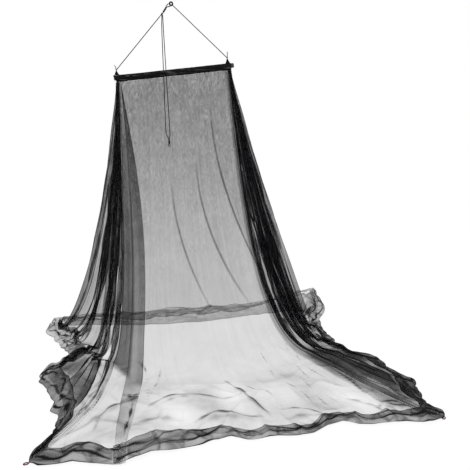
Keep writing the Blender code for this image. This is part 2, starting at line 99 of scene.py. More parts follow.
def smooth_curve(values: Grid, place: Grid) -> Grid:
    """Values on a smooth curve through evenly spaced rows of a table.

    Args:
        values: the table, one row for each step.
        place: places along it, from 0 to its last row.

    Returns:
        One row of values for each place.
    """
    last = len(values) - 1
    place = np.asarray(place, float)
    step = np.clip(place.astype(int), 0, last - 1)
    share = (place - step).reshape(place.shape + (1,) * (values.ndim - 1))
    before, start = values[np.maximum(step - 1, 0)], values[step]
    end, after = values[step + 1], values[np.minimum(step + 2, last)]
    return (
        start
        + (end - before) * share / 2
        + (before * 2 - start * 5 + end * 4 - after) * share**2 / 2
        + (start * 3 - before - end * 3 + after) * share**3 / 2
    )


def resampled(route: Grid, spacing: float) -> Grid:
    """Points about a spacing apart, on a smooth curve through a route.

    Args:
        route: its points.
        spacing: about how far apart the points are to be.

    Returns:
        The points.
    """
    route = np.asarray(route, float)
    length = np.linalg.norm(np.diff(route, axis=0), axis=1).sum()
    count = max(round(length / spacing), 2)
    return smooth_curve(route, np.linspace(0, len(route) - 1, count + 1))


def axis_z(x: Grid) -> Grid:
    """Height of the bar's axis at a place along X."""
    return BAR_CENTRE.z + (x - BAR_CENTRE.x) * math.tan(BAR_TILT)


def seam_z(x: Grid) -> Grid:
    """Height at which the net starts, just under the sleeve."""
    return axis_z(x) - (SLEEVE_DROP + SLEEVE_WALL / 2) / math.cos(BAR_TILT) - 0.0004


# Materials


class Graph:
    """A short way to add and join nodes in one tree."""

    def __init__(self, tree: bpy.types.NodeTree) -> None:
        """Keeps the tree that the nodes go in."""
        self.tree = tree

    def node(self, kind: str, **settings: object) -> bpy.types.Node:
        """Adds a node.

        Args:
            kind: its type, without the leading ShaderNode.
            settings: its properties, by name.

        Returns:
            The node.
        """
        made = self.tree.nodes.new(kind if kind.startswith("Node") else f"ShaderNode{kind}")
        for name, value in settings.items():
            setattr(made, name, value)
        return made

    def join(self, source: Output, target: Output) -> None:
        """Links an output to an input."""
        self.tree.links.new(source, target)

    def math(self, operation: str, first: object, second: object = 0.0, clamp: bool = False) -> Output:
        """Adds a Math node.

        Args:
            operation: the Math node's operation.
            first: its first value, a number or an output.
            second: its second value.
            clamp: whether the result is kept from 0 to 1.

        Returns:
            The node's output.
        """
        made = self.node("Math", operation=operation, use_clamp=clamp)
        for place, value in enumerate((first, second)):
            if isinstance(value, Output):
                self.join(value, made.inputs[place])
            else:
                made.inputs[place].default_value = value
        return made.outputs[0]

    def line(self, value: Output, slope: float, rise: object) -> Output:
        """A value times a slope, plus a rise."""
        return self.math("ADD", self.math("MULTIPLY", value, slope), rise)

    def noise(self, vector: Output, scale: float, detail: float = 3.0, warp: float = 0.0) -> Output:
        """Adds a Noise Texture.

        Args:
            vector: where it reads its place.
            scale: features a metre.
            detail: octaves of finer noise.
            warp: distortion.

        Returns:
            Its value.
        """
        made = self.node("TexNoise")
        self.join(vector, made.inputs["Vector"])
        made.inputs["Scale"].default_value = scale
        made.inputs["Detail"].default_value = detail
        made.inputs["Distortion"].default_value = warp
        return made.outputs["Fac"]

    def place(self) -> Output:
        """A point's place on the object, in metres."""
        return self.node("TexCoord").outputs["Object"]

    def flat(self) -> Output:
        """A point's place on the piece's flat map."""
        return self.node("UVMap", uv_map="Flat").outputs[0]

    def drawn_out(self, place: Output, scale: Triple, turn: float = BAR_TILT) -> Output:
        """A place whose pattern is drawn out along a line.

        Args:
            place: the place.
            scale: how dense the pattern is along each axis.
            turn: how far the line is turned about Y.

        Returns:
            The changed place.
        """
        made = self.node("Mapping")
        made.inputs["Rotation"].default_value = (0.0, turn, 0.0)
        made.inputs["Scale"].default_value = scale
        self.join(place, made.inputs["Vector"])
        return made.outputs[0]

    def group(self, tree: bpy.types.NodeTree, reads: dict[str, Output], **values: object) -> bpy.types.Node:
        """Adds a node group.

        Args:
            tree: the group.
            reads: what its inputs are joined to, by name.
            values: its other inputs, by name.

        Returns:
            The node.
        """
        made = self.node("Group", node_tree=tree)
        for name, source in reads.items():
            self.join(source, made.inputs[name])
        for name, value in values.items():
            made.inputs[name].default_value = value
        return made

    def blend(self, share: object, first: Output, second: object, kind: str = "MIX") -> Output:
        """Blends two colours.

        Args:
            share: how much of the second colour shows, a number or an output.
            first: the first colour's output.
            second: the second colour, or its output.
            kind: the Mix node's blend type.

        Returns:
            The blended colour.
        """
        made = self.node("Mix", data_type="RGBA", blend_type=kind)
        for name, value in (("Factor", share), ("A", first), ("B", second)):
            if isinstance(value, Output):
                self.join(value, made.inputs[name])
            else:
                made.inputs[name].default_value = value
        return made.outputs["Result"]

    def relief(self, height: Output, strength: float, distance: float, normal: Output) -> None:
        """Adds a Bump node.

        Args:
            height: the height that it reads.
            strength: its strength.
            distance: its depth in metres.
            normal: the shader input that it feeds.
        """
        bump = self.node("Bump")
        bump.inputs["Strength"].default_value = strength
        bump.inputs["Distance"].default_value = distance
        self.join(height, bump.inputs["Height"])
        self.join(bump.outputs[0], normal)


@dataclass
class Effect:
    """A new node group, with its graph and its two end nodes."""

    name: str
    inputs: dict[str, object]  # a float's default, or the kind Vector or Color
    outputs: dict[str, str]

    def __post_init__(self) -> None:
        """Makes the group and its sockets."""
        self.tree = bpy.data.node_groups.new(self.name, "ShaderNodeTree")
        for way, sockets in (("INPUT", self.inputs), ("OUTPUT", self.outputs)):
            for label, kind in sockets.items():
                is_float = isinstance(kind, float)
                wanted = "NodeSocketFloat" if is_float else f"NodeSocket{kind}"
                made = self.tree.interface.new_socket(label, in_out=way, socket_type=wanted)
                if is_float:
                    made.default_value = kind
        self.graph = Graph(self.tree)
        self.start = self.graph.node("NodeGroupInput").outputs
        self.end = self.graph.node("NodeGroupOutput").inputs


def weave_group() -> bpy.types.NodeTree:
    """The net's weave: threads that cross at a pitch, read from a flat map in metres.

    Returns:
        A group that gives how near a point is to a thread, from 0 in a hole to 1 on a thread.
    """
    made = Effect("Crossed threads", {"Map": "Vector", "Pitch": 0.0016}, {"Thread": "Float"})
    g = made.graph
    split = g.node("SeparateXYZ")
    g.join(made.start["Map"], split.inputs[0])
    turn = g.math("DIVIDE", 2 * math.pi, made.start["Pitch"])
    threads = [g.math("ABSOLUTE", g.math("SINE", g.math("MULTIPLY", split.outputs[way], turn))) for way in "XY"]
    g.join(g.math("MAXIMUM", *threads), made.end["Thread"])
    return made.tree


def plait_group() -> bpy.types.NodeTree:
    """A cord's strands: two sets of ridges that wind round it, one each way.

    Returns:
        A group that gives the strands' height from the cord's map.
    """
    made = Effect("Plaited strands", {"Map": "Vector", "Pitch": 0.006, "Strands": 4.0}, {"Height": "Float"})
    g = made.graph
    split = g.node("SeparateXYZ")
    g.join(made.start["Map"], split.inputs[0])
    along = g.math("DIVIDE", split.outputs["X"], made.start["Pitch"])
    around = g.math("MULTIPLY", split.outputs["Y"], made.start["Strands"])
    ridges = []
    for way in ("ADD", "SUBTRACT"):
        wound = g.math("MULTIPLY", g.math(way, along, around), 2 * math.pi)
        ridges.append(g.math("ABSOLUTE", g.math("SINE", wound)))
    g.join(g.math("MAXIMUM", *ridges), made.end["Height"])
    return made.tree


def dust_group() -> bpy.types.NodeTree:
    """Lint and wear: pale specks and a slow change of tone.

    Returns:
        A group that gives a colour between two, by noise on a place.
    """
    made = Effect(
        "Lint and wear",
        {"Place": "Vector", "Scale": 60.0, "Amount": 0.3, "Clean": "Color", "Worn": "Color"},
        {"Colour": "Color", "Mask": "Float"},
    )
    g = made.graph
    cloudy = g.node("TexNoise")
    g.join(made.start["Place"], cloudy.inputs["Vector"])
    g.join(made.start["Scale"], cloudy.inputs["Scale"])
    cloudy.inputs["Detail"].default_value = 6.0
    mask = g.math("MULTIPLY", g.math("SUBTRACT", cloudy.outputs["Fac"], 0.42, True), 3.0, True)
    mask = g.math("MULTIPLY", mask, made.start["Amount"], True)
    g.join(g.blend(mask, made.start["Clean"], made.start["Worn"]), made.end["Colour"])
    g.join(mask, made.end["Mask"])
    return made.tree


@dataclass
class Effects:
    """The node groups that the finishes share."""

    weave: bpy.types.NodeTree
    plait: bpy.types.NodeTree
    dust: bpy.types.NodeTree


def new_material(name: str) -> tuple[bpy.types.Material, bpy.types.Node]:
    """A material and its shader node."""
    material = bpy.data.materials.new(name)
    material.use_nodes = True
    return material, material.node_tree.nodes["Principled BSDF"]


@dataclass(frozen=True)
class Finish:
    """What every finish has: its name, its two tones, and how its lint lies."""

    name: str
    clean: Triple
    worn: Triple
    lint_scale: float
    lint: float
    shine: float

    def start(self, effects: Effects) -> tuple[bpy.types.Material, Graph, bpy.types.Node, Output, bpy.types.Node]:
        """Starts the material with its lint and wear.

        Args:
            effects: the shared node groups.

        Returns:
            The material, its graph, its shader node, the place on the object and the lint's node.
        """
        material, shader = new_material(self.name)
        shader.inputs["Specular IOR Level"].default_value = self.shine
        g = Graph(material.node_tree)
        place = g.place()
        clean, worn = (*self.clean, 1.0), (*self.worn, 1.0)
        dust = g.group(effects.dust, {"Place": place}, Scale=self.lint_scale, Amount=self.lint, Clean=clean, Worn=worn)
        return material, g, shader, place, dust


@dataclass(frozen=True)
class NetFinish(Finish):
    """Sheer black net. Its cover grows with the cloth that each point holds gathered, and with the painted shade that
    is kept with it.
    """

    name: str = "Sheer black net"
    clean: Triple = (0.004, 0.004, 0.005)
    worn: Triple = (0.014, 0.014, 0.016)
    lint_scale: float = 18.0
    lint: float = 0.5
    shine: float = 0.08
    open_share: float = 0.865  # light that one smooth layer lets through
    pitch: float = 0.0016
    ripple: float = 0.55  # the shimmer of two nets one behind the other
    ripples: float = 46.0  # across a metre
    ripple_scale: Triple = (1.0, 0.25, 0.42)
    ripple_turn: float = math.radians(24)
    uneven: float = 0.35

    def make(self, effects: Effects) -> bpy.types.Material:
        """Builds the material.

        Args:
            effects: the shared node groups.

        Returns:
            The material.
        """
        material, g, shader, place, dust = self.start(effects)
        # The net's cover reads the cloth's layers together with painted shade on the floor cloth and round the laid
        # folds.
        held = g.node("Attribute", attribute_name="cover_and_shade")
        shimmer = g.node("Attribute", attribute_name="shimmer")
        thread = g.group(effects.weave, {"Map": g.flat()}, Pitch=self.pitch).outputs["Thread"]
        dashes = g.noise(g.drawn_out(place, self.ripple_scale, self.ripple_turn), self.ripples, 1.0, 1.8)
        swell = g.math("MULTIPLY", g.line(dashes, 2.0, -1.0), self.ripple)
        swell = g.math("MULTIPLY", swell, shimmer.outputs["Fac"])
        uneven = g.math("MULTIPLY", g.math("SUBTRACT", g.noise(place, 9.0), 0.5), self.uneven)
        woven = g.math("MULTIPLY", g.math("SUBTRACT", thread, 0.82), 0.9)
        layers = g.math("ADD", 1.0, g.math("ADD", swell, g.math("ADD", uneven, woven)))
        through = g.math("POWER", self.open_share, g.math("MULTIPLY", held.outputs["Fac"], layers))
        g.join(g.math("SUBTRACT", 1.0, through, True), shader.inputs["Alpha"])
        g.join(dust.outputs["Colour"], shader.inputs["Base Color"])
        g.relief(thread, 0.25, 0.0004, shader.inputs["Normal"])
        shader.inputs["Roughness"].default_value = 0.80
        return material


@dataclass(frozen=True)
class BandFinish(Finish):
    """Closed black cloth of the sleeve: a tight weave with lint and wear, and painted highlights in pale streaks along
    the bar.
    """

    name: str = "Closed black cloth"
    clean: Triple = (0.0012, 0.0012, 0.0014)
    worn: Triple = (0.010, 0.010, 0.012)
    lint_scale: float = 26.0
    lint: float = 0.55
    shine: float = 0.10
    crease: Triple = (0.060, 0.060, 0.064)  # the painted highlights' colour, in pale streaks along the bar for light on its wrinkles
    highlight_streak_scale: Triple = (9.0, 60.0, 70.0)
    pitch: float = 0.0009

    def make(self, effects: Effects) -> bpy.types.Material:
        """Builds the material.

        Args:
            effects: the shared node groups.

        Returns:
            The material.
        """
        material, g, shader, place, dust = self.start(effects)
        weave = g.group(effects.weave, {"Map": g.flat()}, Pitch=self.pitch)
        # Painted highlight: pale streaks along the bar, mixed into the cloth's colour.
        lines = g.noise(g.drawn_out(place, self.highlight_streak_scale), 1.0, 3.0, 0.6)
        ridges = g.math("MULTIPLY", g.math("SUBTRACT", lines, 0.57), 9.0, True)
        highlighted_cloth = g.blend(ridges, dust.outputs["Colour"], (*self.crease, 1.0))
        g.join(highlighted_cloth, shader.inputs["Base Color"])
        height = g.line(weave.outputs["Thread"], 0.4, g.noise(place, 130.0, 4.0))
        g.relief(height, 0.35, 0.0008, shader.inputs["Normal"])
        g.join(g.line(dust.outputs["Mask"], 0.15, 0.62), shader.inputs["Roughness"])
        return material


@dataclass(frozen=True)
class RopeFinish(Finish):
    """Cord of plaited strands, with lint, and painted shade in the grooves between them."""

    lint_scale: float = 160.0
    lint: float = 0.6
    shine: float = 0.12
    pitch: float = 0.0052
    strands: float = 4.0

    def make(self, effects: Effects) -> bpy.types.Material:
        """Builds the material.

        Args:
            effects: the shared node groups.

        Returns:
            The material.
        """
        material, g, shader, _, dust = self.start(effects)
        plait = g.group(effects.plait, {"Map": g.flat()}, Pitch=self.pitch, Strands=self.strands)
        # Painted shade: the grooves between the strands are darkened in the cord's colour.
        groove_shade = g.node("CombineColor")
        lit = g.line(plait.outputs["Height"], 0.7, 0.3)
        for channel in ("Red", "Green", "Blue"):
            g.join(lit, groove_shade.inputs[channel])
        shade = g.blend(0.7, dust.outputs["Colour"], groove_shade.outputs[0], "MULTIPLY")
        g.join(shade, shader.inputs["Base Color"])
        g.relief(plait.outputs["Height"], 0.6, 0.0006, shader.inputs["Normal"])
        shader.inputs["Roughness"].default_value = 0.72
        return material


@dataclass(frozen=True)
class PaintFinish(Finish):
    """Black paint over wood: brushed along the grain, a little rubbed."""

    name: str = "Black painted wood"
    clean: Triple = (0.010, 0.010, 0.011)
    worn: Triple = (0.050, 0.045, 0.040)
    lint_scale: float = 45.0
    lint: float = 0.35
    shine: float = 0.5
    grain_scale: Triple = (0.05, 1.0, 1.0)

    def make(self, effects: Effects) -> bpy.types.Material:
        """Builds the material.

        Args:
            effects: the shared node groups.

        Returns:
            The material.
        """
        material, g, shader, place, dust = self.start(effects)
        grain = g.noise(g.drawn_out(place, self.grain_scale), 420.0, 4.0)
        g.join(dust.outputs["Colour"], shader.inputs["Base Color"])
        g.relief(grain, 0.3, 0.0005, shader.inputs["Normal"])
        g.join(g.line(grain, 0.25, 0.30), shader.inputs["Roughness"])
        shader.inputs["Coat Weight"].default_value = 0.15
        return material


@dataclass(frozen=True)
class PlasticFinish(Finish):
    """Moulded black plastic with a fine grain."""

    name: str = "Moulded black plastic"
    clean: Triple = (0.005, 0.005, 0.006)
    worn: Triple = (0.05, 0.05, 0.05)
    lint_scale: float = 220.0
    lint: float = 0.3
    shine: float = 0.2

    def make(self, effects: Effects) -> bpy.types.Material:
        """Builds the material.

        Args:
            effects: the shared node groups.

        Returns:
            The material.
        """
        material, g, shader, place, dust = self.start(effects)
        g.join(dust.outputs["Colour"], shader.inputs["Base Color"])
        g.relief(g.noise(place, 1800.0, 2.0), 0.15, 0.0002, shader.inputs["Normal"])
        g.join(g.line(dust.outputs["Mask"], 0.3, 0.44), shader.inputs["Roughness"])
        return material


@dataclass
class Finishes:
    """Every finish of the canopy, made once."""

    net: bpy.types.Material
    band: bpy.types.Material
    rope: bpy.types.Material
    bar: bpy.types.Material
    plastic: bpy.types.Material
    red: bpy.types.Material


def make_finishes() -> Finishes:
    """Builds the shared effects and every finish."""
    effects = Effects(weave_group(), plait_group(), dust_group())
    return Finishes(
        net=NetFinish().make(effects),
        band=BandFinish().make(effects),
        rope=RopeFinish("Black cord", (0.003, 0.003, 0.003), (0.022, 0.022, 0.024)).make(effects),
        bar=PaintFinish().make(effects),
        plastic=PlasticFinish().make(effects),
        red=RopeFinish("Dark red cord", (0.090, 0.003, 0.007), (0.160, 0.020, 0.026)).make(effects),
    )


# Meshes


def add_piece(name: str, bm: bmesh.types.BMesh, finish: bpy.types.Material, node: str = "") -> Piece:
    """A new piece at the origin from a bmesh, shaded smooth and riding on the part's body.

    Args:
        name: the piece's name.
        bm: its shape, which is freed.
        finish: its material.
        node: the solid whose place it takes, if any.

    Returns:
        The piece.
    """
    mesh = bpy.data.meshes.new(name)
    bm.to_mesh(mesh)
    bm.free()
    mesh.materials.append(finish)
    mesh.shade_smooth()
    piece = bpy.data.objects.new(name, mesh)
    bpy.context.scene.collection.objects.link(piece)
    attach(piece, BODY)
    if node:
        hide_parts(node)
    return piece


def closed_up(bm: bmesh.types.BMesh) -> bmesh.types.BMesh:
    """The same bmesh with its holes filled and its faces outwards."""
    bmesh.ops.holes_fill(bm, edges=[edge for edge in bm.edges if edge.is_boundary], sides=0)
    bmesh.ops.recalc_face_normals(bm, faces=bm.faces)
    return bm


def mapped_grid(places: Grid, flat: Grid, merged: bool = False) -> bmesh.types.BMesh:
    """A grid laid over an array of places, with its flat map.

    Args:
        places: rows by columns by 3.
        flat: rows by columns by 2, the map in metres or turns.
        merged: whether it closes on itself, so that the edges that meet are merged.

    Returns:
        The bmesh.
    """
    rows, columns = places.shape[0] - 1, places.shape[1] - 1
    bm = bmesh.new()
    bmesh.ops.create_grid(bm, x_segments=columns, y_segments=rows, size=0.5)
    layer = bm.loops.layers.uv.new("Flat")
    bm.verts.ensure_lookup_table()
    steps = np.array([vert.co for vert in bm.verts])
    column = np.rint((steps[:, 0] + 0.5) * columns).astype(int)
    row = np.rint((steps[:, 1] + 0.5) * rows).astype(int)
    maps = flat[row, column]
    for vert, place in zip(bm.verts, places[row, column]):
        vert.co = place
    for face in bm.faces:
        for loop in face.loops:
            loop[layer].uv = maps[loop.vert.index]
    if merged:
        bmesh.ops.remove_doubles(bm, verts=bm.verts, dist=1e-6)
    return bm


def path_frames(points: Grid, closed: bool) -> tuple[Grid, Grid]:
    """Two directions across a path at each of its points, which turn as little as they can.

    Args:
        points: the path.
        closed: whether its last point is its first.

    Returns:
        The two directions.
    """
    ahead = np.gradient(points, axis=0)
    if closed:
        ahead[0] = ahead[-1] = points[1] - points[-2]
    ahead /= np.linalg.norm(ahead, axis=1)[:, None]
    start = np.cross(ahead[0], (0.0, 1.0, 0.0) if abs(ahead[0][1]) < 0.9 else (1.0, 0.0, 0.0))
    across = [start / np.linalg.norm(start)]
    for direction in ahead[1:]:
        turned = across[-1] - direction * (across[-1] @ direction)
        across.append(turned / np.linalg.norm(turned))
    across = np.array(across)
    return across, np.cross(ahead, across)


def cord_mesh(points: Grid, radius: float, pitch: float, closed: bool = False, sides: int = 14) -> bmesh.types.BMesh:
    """A cord of three twisted plies, swept along a path.

    Args:
        points: the path, close enough together for its plies.
        radius: the cord's outer radius.
        pitch: length in which a ply winds round once.
        closed: whether the path is a loop.
        sides: faces round it.

    Returns:
        The bmesh, with its ends closed.
    """
    if closed:
        points[-1] = points[0]
    across, over = path_frames(points, closed)
    run = np.concatenate(([0.0], np.cumsum(np.linalg.norm(np.diff(points, axis=0), axis=1))))
    if closed:
        pitch = run[-1] / max(round(run[-1] / pitch), 1)
    angle = np.linspace(0, 2 * math.pi, sides + 1)
    angle[-1] = 0.0
    wound = angle[None, :] - 2 * math.pi * run[:, None] / pitch
    relief = (1 - PLY_DEPTH) + PLY_DEPTH * np.abs(np.cos(wound * PLIES / 2))
    if not closed:
        tip = np.minimum(run, run[-1] - run)[:, None] / radius
        relief = relief * np.sqrt(np.clip(1 - (1 - np.clip(tip, 0, 1)) ** 2, 0.12, 1))
    places = (
        points[:, None, :]
        + across[:, None, :] * (radius * relief * np.cos(angle))[:, :, None]
        + over[:, None, :] * (radius * relief * np.sin(angle))[:, :, None]
    )
    if closed:
        places[-1] = places[0]
    turns = np.linspace(0, 1, sides + 1)
    flat = np.stack(np.broadcast_arrays(run[:, None], turns[None, :]), axis=-1)
    return closed_up(mapped_grid(places, flat, merged=True))


# Camera, light and floor


@dataclass
class Studio:
    """White floor and backdrop, soft light and the camera at the photograph's place."""

    camera_place: Triple = CAMERA_PLACE
    camera_turn: float = 8.5  # degrees to the right of straight ahead
    camera_dip: float = 16.5  # degrees below the horizon
    lens: float = 37.53
    sensor: float = 36.0
    floor_size: float = 24.0
    glow: float = 0.88

    def build(self) -> None:
        """Makes the camera first, then the floor and the light."""
        scene = bpy.context.scene
        data = bpy.data.cameras.new("Camera")
        data.lens, data.sensor_width = self.lens, self.sensor
        data.clip_start, data.clip_end = 0.05, 60.0
        camera = bpy.data.objects.new("Camera", data)
        camera.location = self.camera_place
        camera.rotation_euler = (math.radians(90 - self.camera_dip), 0.0, -math.radians(self.camera_turn))
        scene.collection.objects.link(camera)
        scene.camera = camera
        scene.view_settings.view_transform = "Standard"
        scene.cycles.transparent_max_bounces = 48
        self.light()
        self.floor()
        log.info("camera, light and floor")

    def light(self) -> None:
        """An even white sky with two broad soft lamps."""
        world = bpy.data.worlds.new("Studio")
        world.use_nodes = True
        sky = world.node_tree.nodes["Background"].inputs
        sky["Color"].default_value = (1.0, 1.0, 1.0, 1.0)
        sky["Strength"].default_value = 1.0
        bpy.context.scene.world = world
        for name, place, size, power in (
            ("Key", (-2.4, -3.0, 1.6), 2.2, 60.0),
            ("Rim", (2.8, 1.6, 1.2), 2.0, 30.0),
        ):
            lamp = bpy.data.lights.new(name, "AREA")
            lamp.size = size
            lamp.energy = power
            holder = bpy.data.objects.new(name, lamp)
            holder.location = place
            aim = Vector((0.0, -0.4, -1.3)) - Vector(place)
            holder.rotation_euler = aim.to_track_quat("-Z", "Y").to_euler()
            bpy.context.scene.collection.objects.link(holder)

    def floor(self) -> None:
        """A plain white floor that mostly glows, as a lit studio floor does, with faint shadows."""
        bm = bmesh.new()
        bmesh.ops.create_grid(bm, x_segments=1, y_segments=1, size=self.floor_size / 2)
        bmesh.ops.translate(bm, verts=bm.verts, vec=(0.0, 0.0, FLOOR_Z))
        mesh = bpy.data.meshes.new("floor")
        bm.to_mesh(mesh)
        bm.free()
        material, shader = new_material("White floor")
        shader.inputs["Base Color"].default_value = (0.12, 0.12, 0.12, 1.0)
        shader.inputs["Roughness"].default_value = 1.0
        shader.inputs["Specular IOR Level"].default_value = 0.0
        shader.inputs["Emission Color"].default_value = (1.0, 1.0, 1.0, 1.0)
        shader.inputs["Emission Strength"].default_value = self.glow
        mesh.materials.append(material)
        floor = bpy.data.objects.new("floor", mesh)
        bpy.context.scene.collection.objects.link(floor)


# Cords, knots and the stopper


@dataclass
class HangingCords:
    """The V of cord with its loop and slip knot, the hoist strands, the pull cord and its stopper."""

    finishes: Finishes
    pitch: float = 0.011
    loop_radius: float = 0.0096
    loop_wrap: float = 0.0051
    loop_centre: Triple = (0.0, 0.0, -0.0045)
    slip_knot: Triple = (-0.06, 0.0, -0.065)
    slip_lean: float = 40.0
    left_knot: Triple = (-0.371, 0.0, -0.41065)
    right_knot: Triple = (0.363, 0.0, -0.33006)
    knot: float = 0.01
    fluff: float = 1.4  # how far the soft plies of a cord stand out past its solid
    stopper: Triple = (-0.046, -0.097, -0.869)
    stopper_radius: float = 0.0074
    stopper_height: float = 0.03
    end_loop_radius: float = 0.0075
    # The stopper's outline: shares of its radius and of half of its height
    profile = (
        (0.0, 1.0), (0.62, 1.0), (0.7, 0.95), (0.7, 0.42), (0.86, 0.38), (0.98, 0.3), (1.0, 0.1),
        (0.9, -0.05), (0.9, -0.45), (1.0, -0.62), (0.98, -0.86), (0.8, -0.99), (0.3, -1.0), (0.0, -0.97),
    )
    hoist_a = (
        (-0.0158, 0.0, -0.0038), (-0.0228, 0.0, -0.0098), (-0.031, 0.0, -0.0202), (-0.043, 0.0, -0.0385),
        (-0.0553, 0.0, -0.0568),
    )
    hoist_b = (
        (-0.004, 0.0, -0.0199), (-0.014, 0.0, -0.0215), (-0.0262, 0.0, -0.0248), (-0.0385, 0.0, -0.0415),
        (-0.0513, 0.0, -0.06),
    )
    pull_a = (
        (-0.0612, -0.003, -0.0728), (-0.065, -0.008, -0.15), (-0.0655, -0.017, -0.28), (-0.065, -0.0255, -0.4),
        (-0.065, -0.029, -0.46), (-0.0655, -0.04, -0.56), (-0.066, -0.06, -0.68), (-0.0655, -0.082, -0.79),
        (-0.06, -0.09, -0.825), (-0.05, -0.0955, -0.846), (-0.049, -0.097, -0.8533),
    )
    pull_b = (
        (-0.056, -0.003, -0.0712), (-0.055, -0.008, -0.15), (-0.052, -0.017, -0.28), (-0.049, -0.0255, -0.4),
        (-0.0475, -0.029, -0.46), (-0.045, -0.04, -0.56), (-0.042, -0.06, -0.68), (-0.0395, -0.082, -0.79),
        (-0.0395, -0.09, -0.825), (-0.0425, -0.0955, -0.846), (-0.043, -0.097, -0.8533),
    )
    left_tail = ((-0.371, 0.0, -0.41065), (-0.374, 0.0, -0.396), (-0.38, 0.0, -0.38))
    right_tail = ((0.363, 0.0, -0.33006), (0.3635, 0.0, -0.308), (0.363, 0.0, -0.289))

    def build(self) -> None:
        """Makes every cord and what is tied in it."""
        barrel = self.barrel()
        place = self.end_loop_place()
        end_loop = self.ring_piece("pull_cord_end_loop", "pull_cord_loop", place, self.end_loop_radius, CORD / 2)
        self.free_cord("pull_cord_strand_a", "pull_cord_a", self.pull_a, CORD)
        self.free_cord("pull_cord_strand_b", "pull_cord_b", self.pull_b, CORD)
        self.free_cord("tie_end_left", "tie_tail_left", self.left_tail, CORD * 0.9)
        self.free_cord("tie_end_right", "tie_tail_right", self.right_tail, CORD * 0.9)
        self.ring_piece("wrapped_loop", "hanging_loop", self.loop_centre, self.loop_radius, self.loop_wrap)
        self.fixed_cord("hoist_strand_a", "hoist_cord_a", self.hoist_a)
        self.fixed_cord("hoist_strand_b", "hoist_cord_b", self.hoist_b)
        self.leg("leg_left", "leg_cord_left", self.slip_knot, 0.0075, self.left_knot)
        self.leg("leg_right", "leg_cord_right", self.loop_centre, self.loop_radius + self.loop_wrap, self.right_knot)
        self.wound_knot("slip_knot_wound", "slip_knot")
        self.overhand_knot("knot_left", "tie_knot_left", self.left_knot)
        self.overhand_knot("knot_right", "tie_knot_right", self.right_knot)
        log.info("cords, knots and stopper")

    def rope(self, name: str, node: str, bm: bmesh.types.BMesh) -> Piece:
        """A piece of black cord in its solid's place."""
        return add_piece(name, bm, self.finishes.rope, node)

    def fixed_cord(self, name: str, node: str, route: tuple) -> Piece:
        """A cord held at both ends, along a route."""
        points = resampled(route, self.pitch / 9)
        return self.rope(name, node, cord_mesh(points, CORD / 2 * self.fluff, self.pitch))

    def free_cord(self, name: str, node: str, route: tuple, diameter: float) -> None:
        """A cord that hangs free.

        Args:
            name: the piece's name.
            node: the solid that it stands for.
            route: the points that it runs through.
            diameter: its diameter.
        """
        points = resampled(route, self.pitch / 9)
        piece = self.rope(name, node, cord_mesh(points, diameter / 2 * self.fluff, self.pitch))

    def leg(self, name: str, node: str, start: tuple, start_reach: float, end: tuple) -> None:
        """One leg of the V, straight from its knot or loop to the bar's tie.

        Args:
            name: the piece's name.
            node: the solid that it stands for.
            start: what its upper end is tied to.
            start_reach: how far from there its cord starts.
            end: the tie's middle.
        """
        start, end = Vector(start), Vector(end)
        line = (end - start).normalized()
        first, last = start + line * start_reach, end - line * self.knot * 0.35
        self.fixed_cord(name, node, (tuple(first), tuple((first + last) / 2), tuple(last)))

    def ring_piece(self, name: str, node: str, centre: tuple, radius: float, thickness: float) -> Piece:
        """A small loop of cord that stands upright along the bar.

        Args:
            name: the piece's name.
            node: the solid that it stands for.
            centre: its centre.
            radius: of its middle line.
            thickness: half of its cord's width.

        Returns:
            The piece.
        """
        turn = np.linspace(0, 2 * math.pi, 145)
        turn[-1] = 0.0
        points = np.array(centre) + np.stack((np.sin(turn), turn * 0, np.cos(turn)), axis=-1) * radius
        return self.rope(name, node, cord_mesh(points, thickness, radius * 0.75, closed=True, sides=18))

    def end_loop_place(self) -> Triple:
        """Centre of the small loop under the stopper."""
        x, y, z = self.stopper
        return x, y, z - self.stopper_height / 2 - 0.0003 - self.end_loop_radius - CORD / 2

    def overhand_knot(self, name: str, node: str, centre: tuple) -> None:
        """A tight overhand knot, as a three-lobed path of cord.

        Args:
            name: the piece's name.
            node: the solid that it stands for.
            centre: its middle.
        """
        turn = np.linspace(0, 2 * math.pi, 97)
        x = np.sin(turn) + 2 * np.sin(2 * turn)
        z = np.cos(turn) - 2 * np.cos(2 * turn)
        path = np.stack((x, -np.sin(3 * turn) * 1.2, z), axis=-1)
        radius = CORD * 0.42
        points = np.array(centre) + path * (self.knot / 2 - radius) / 3.0
        self.rope(name, node, cord_mesh(points, radius, self.pitch, closed=True, sides=10))

    def wound_knot(self, name: str, node: str) -> None:
        """The slip knot: close turns of cord wound along the leg, with the ends tucked in.

        Args:
            name: the piece's name.
            node: the solid that it stands for.
        """
        turns, reach, height = 4.5, 0.0042, 0.0145
        share = np.linspace(0, 1, 181)
        swing = reach * np.sqrt(np.clip(1 - (2 * share - 1) ** 4, 0.05, 1))
        angle = share * turns * 2 * math.pi
        lean = math.radians(self.slip_lean)
        along = np.array((math.sin(lean), 0.0, math.cos(lean)))
        across = np.array((math.cos(lean), 0.0, -math.sin(lean)))
        points = (
            np.array(self.slip_knot)
            + along * ((share - 0.5) * height)[:, None]
            + across * (swing * np.cos(angle))[:, None]
            + np.array((0.0, 1.0, 0.0)) * (swing * np.sin(angle))[:, None]
        )
        self.rope(name, node, cord_mesh(points, 0.0018, self.pitch, sides=10))

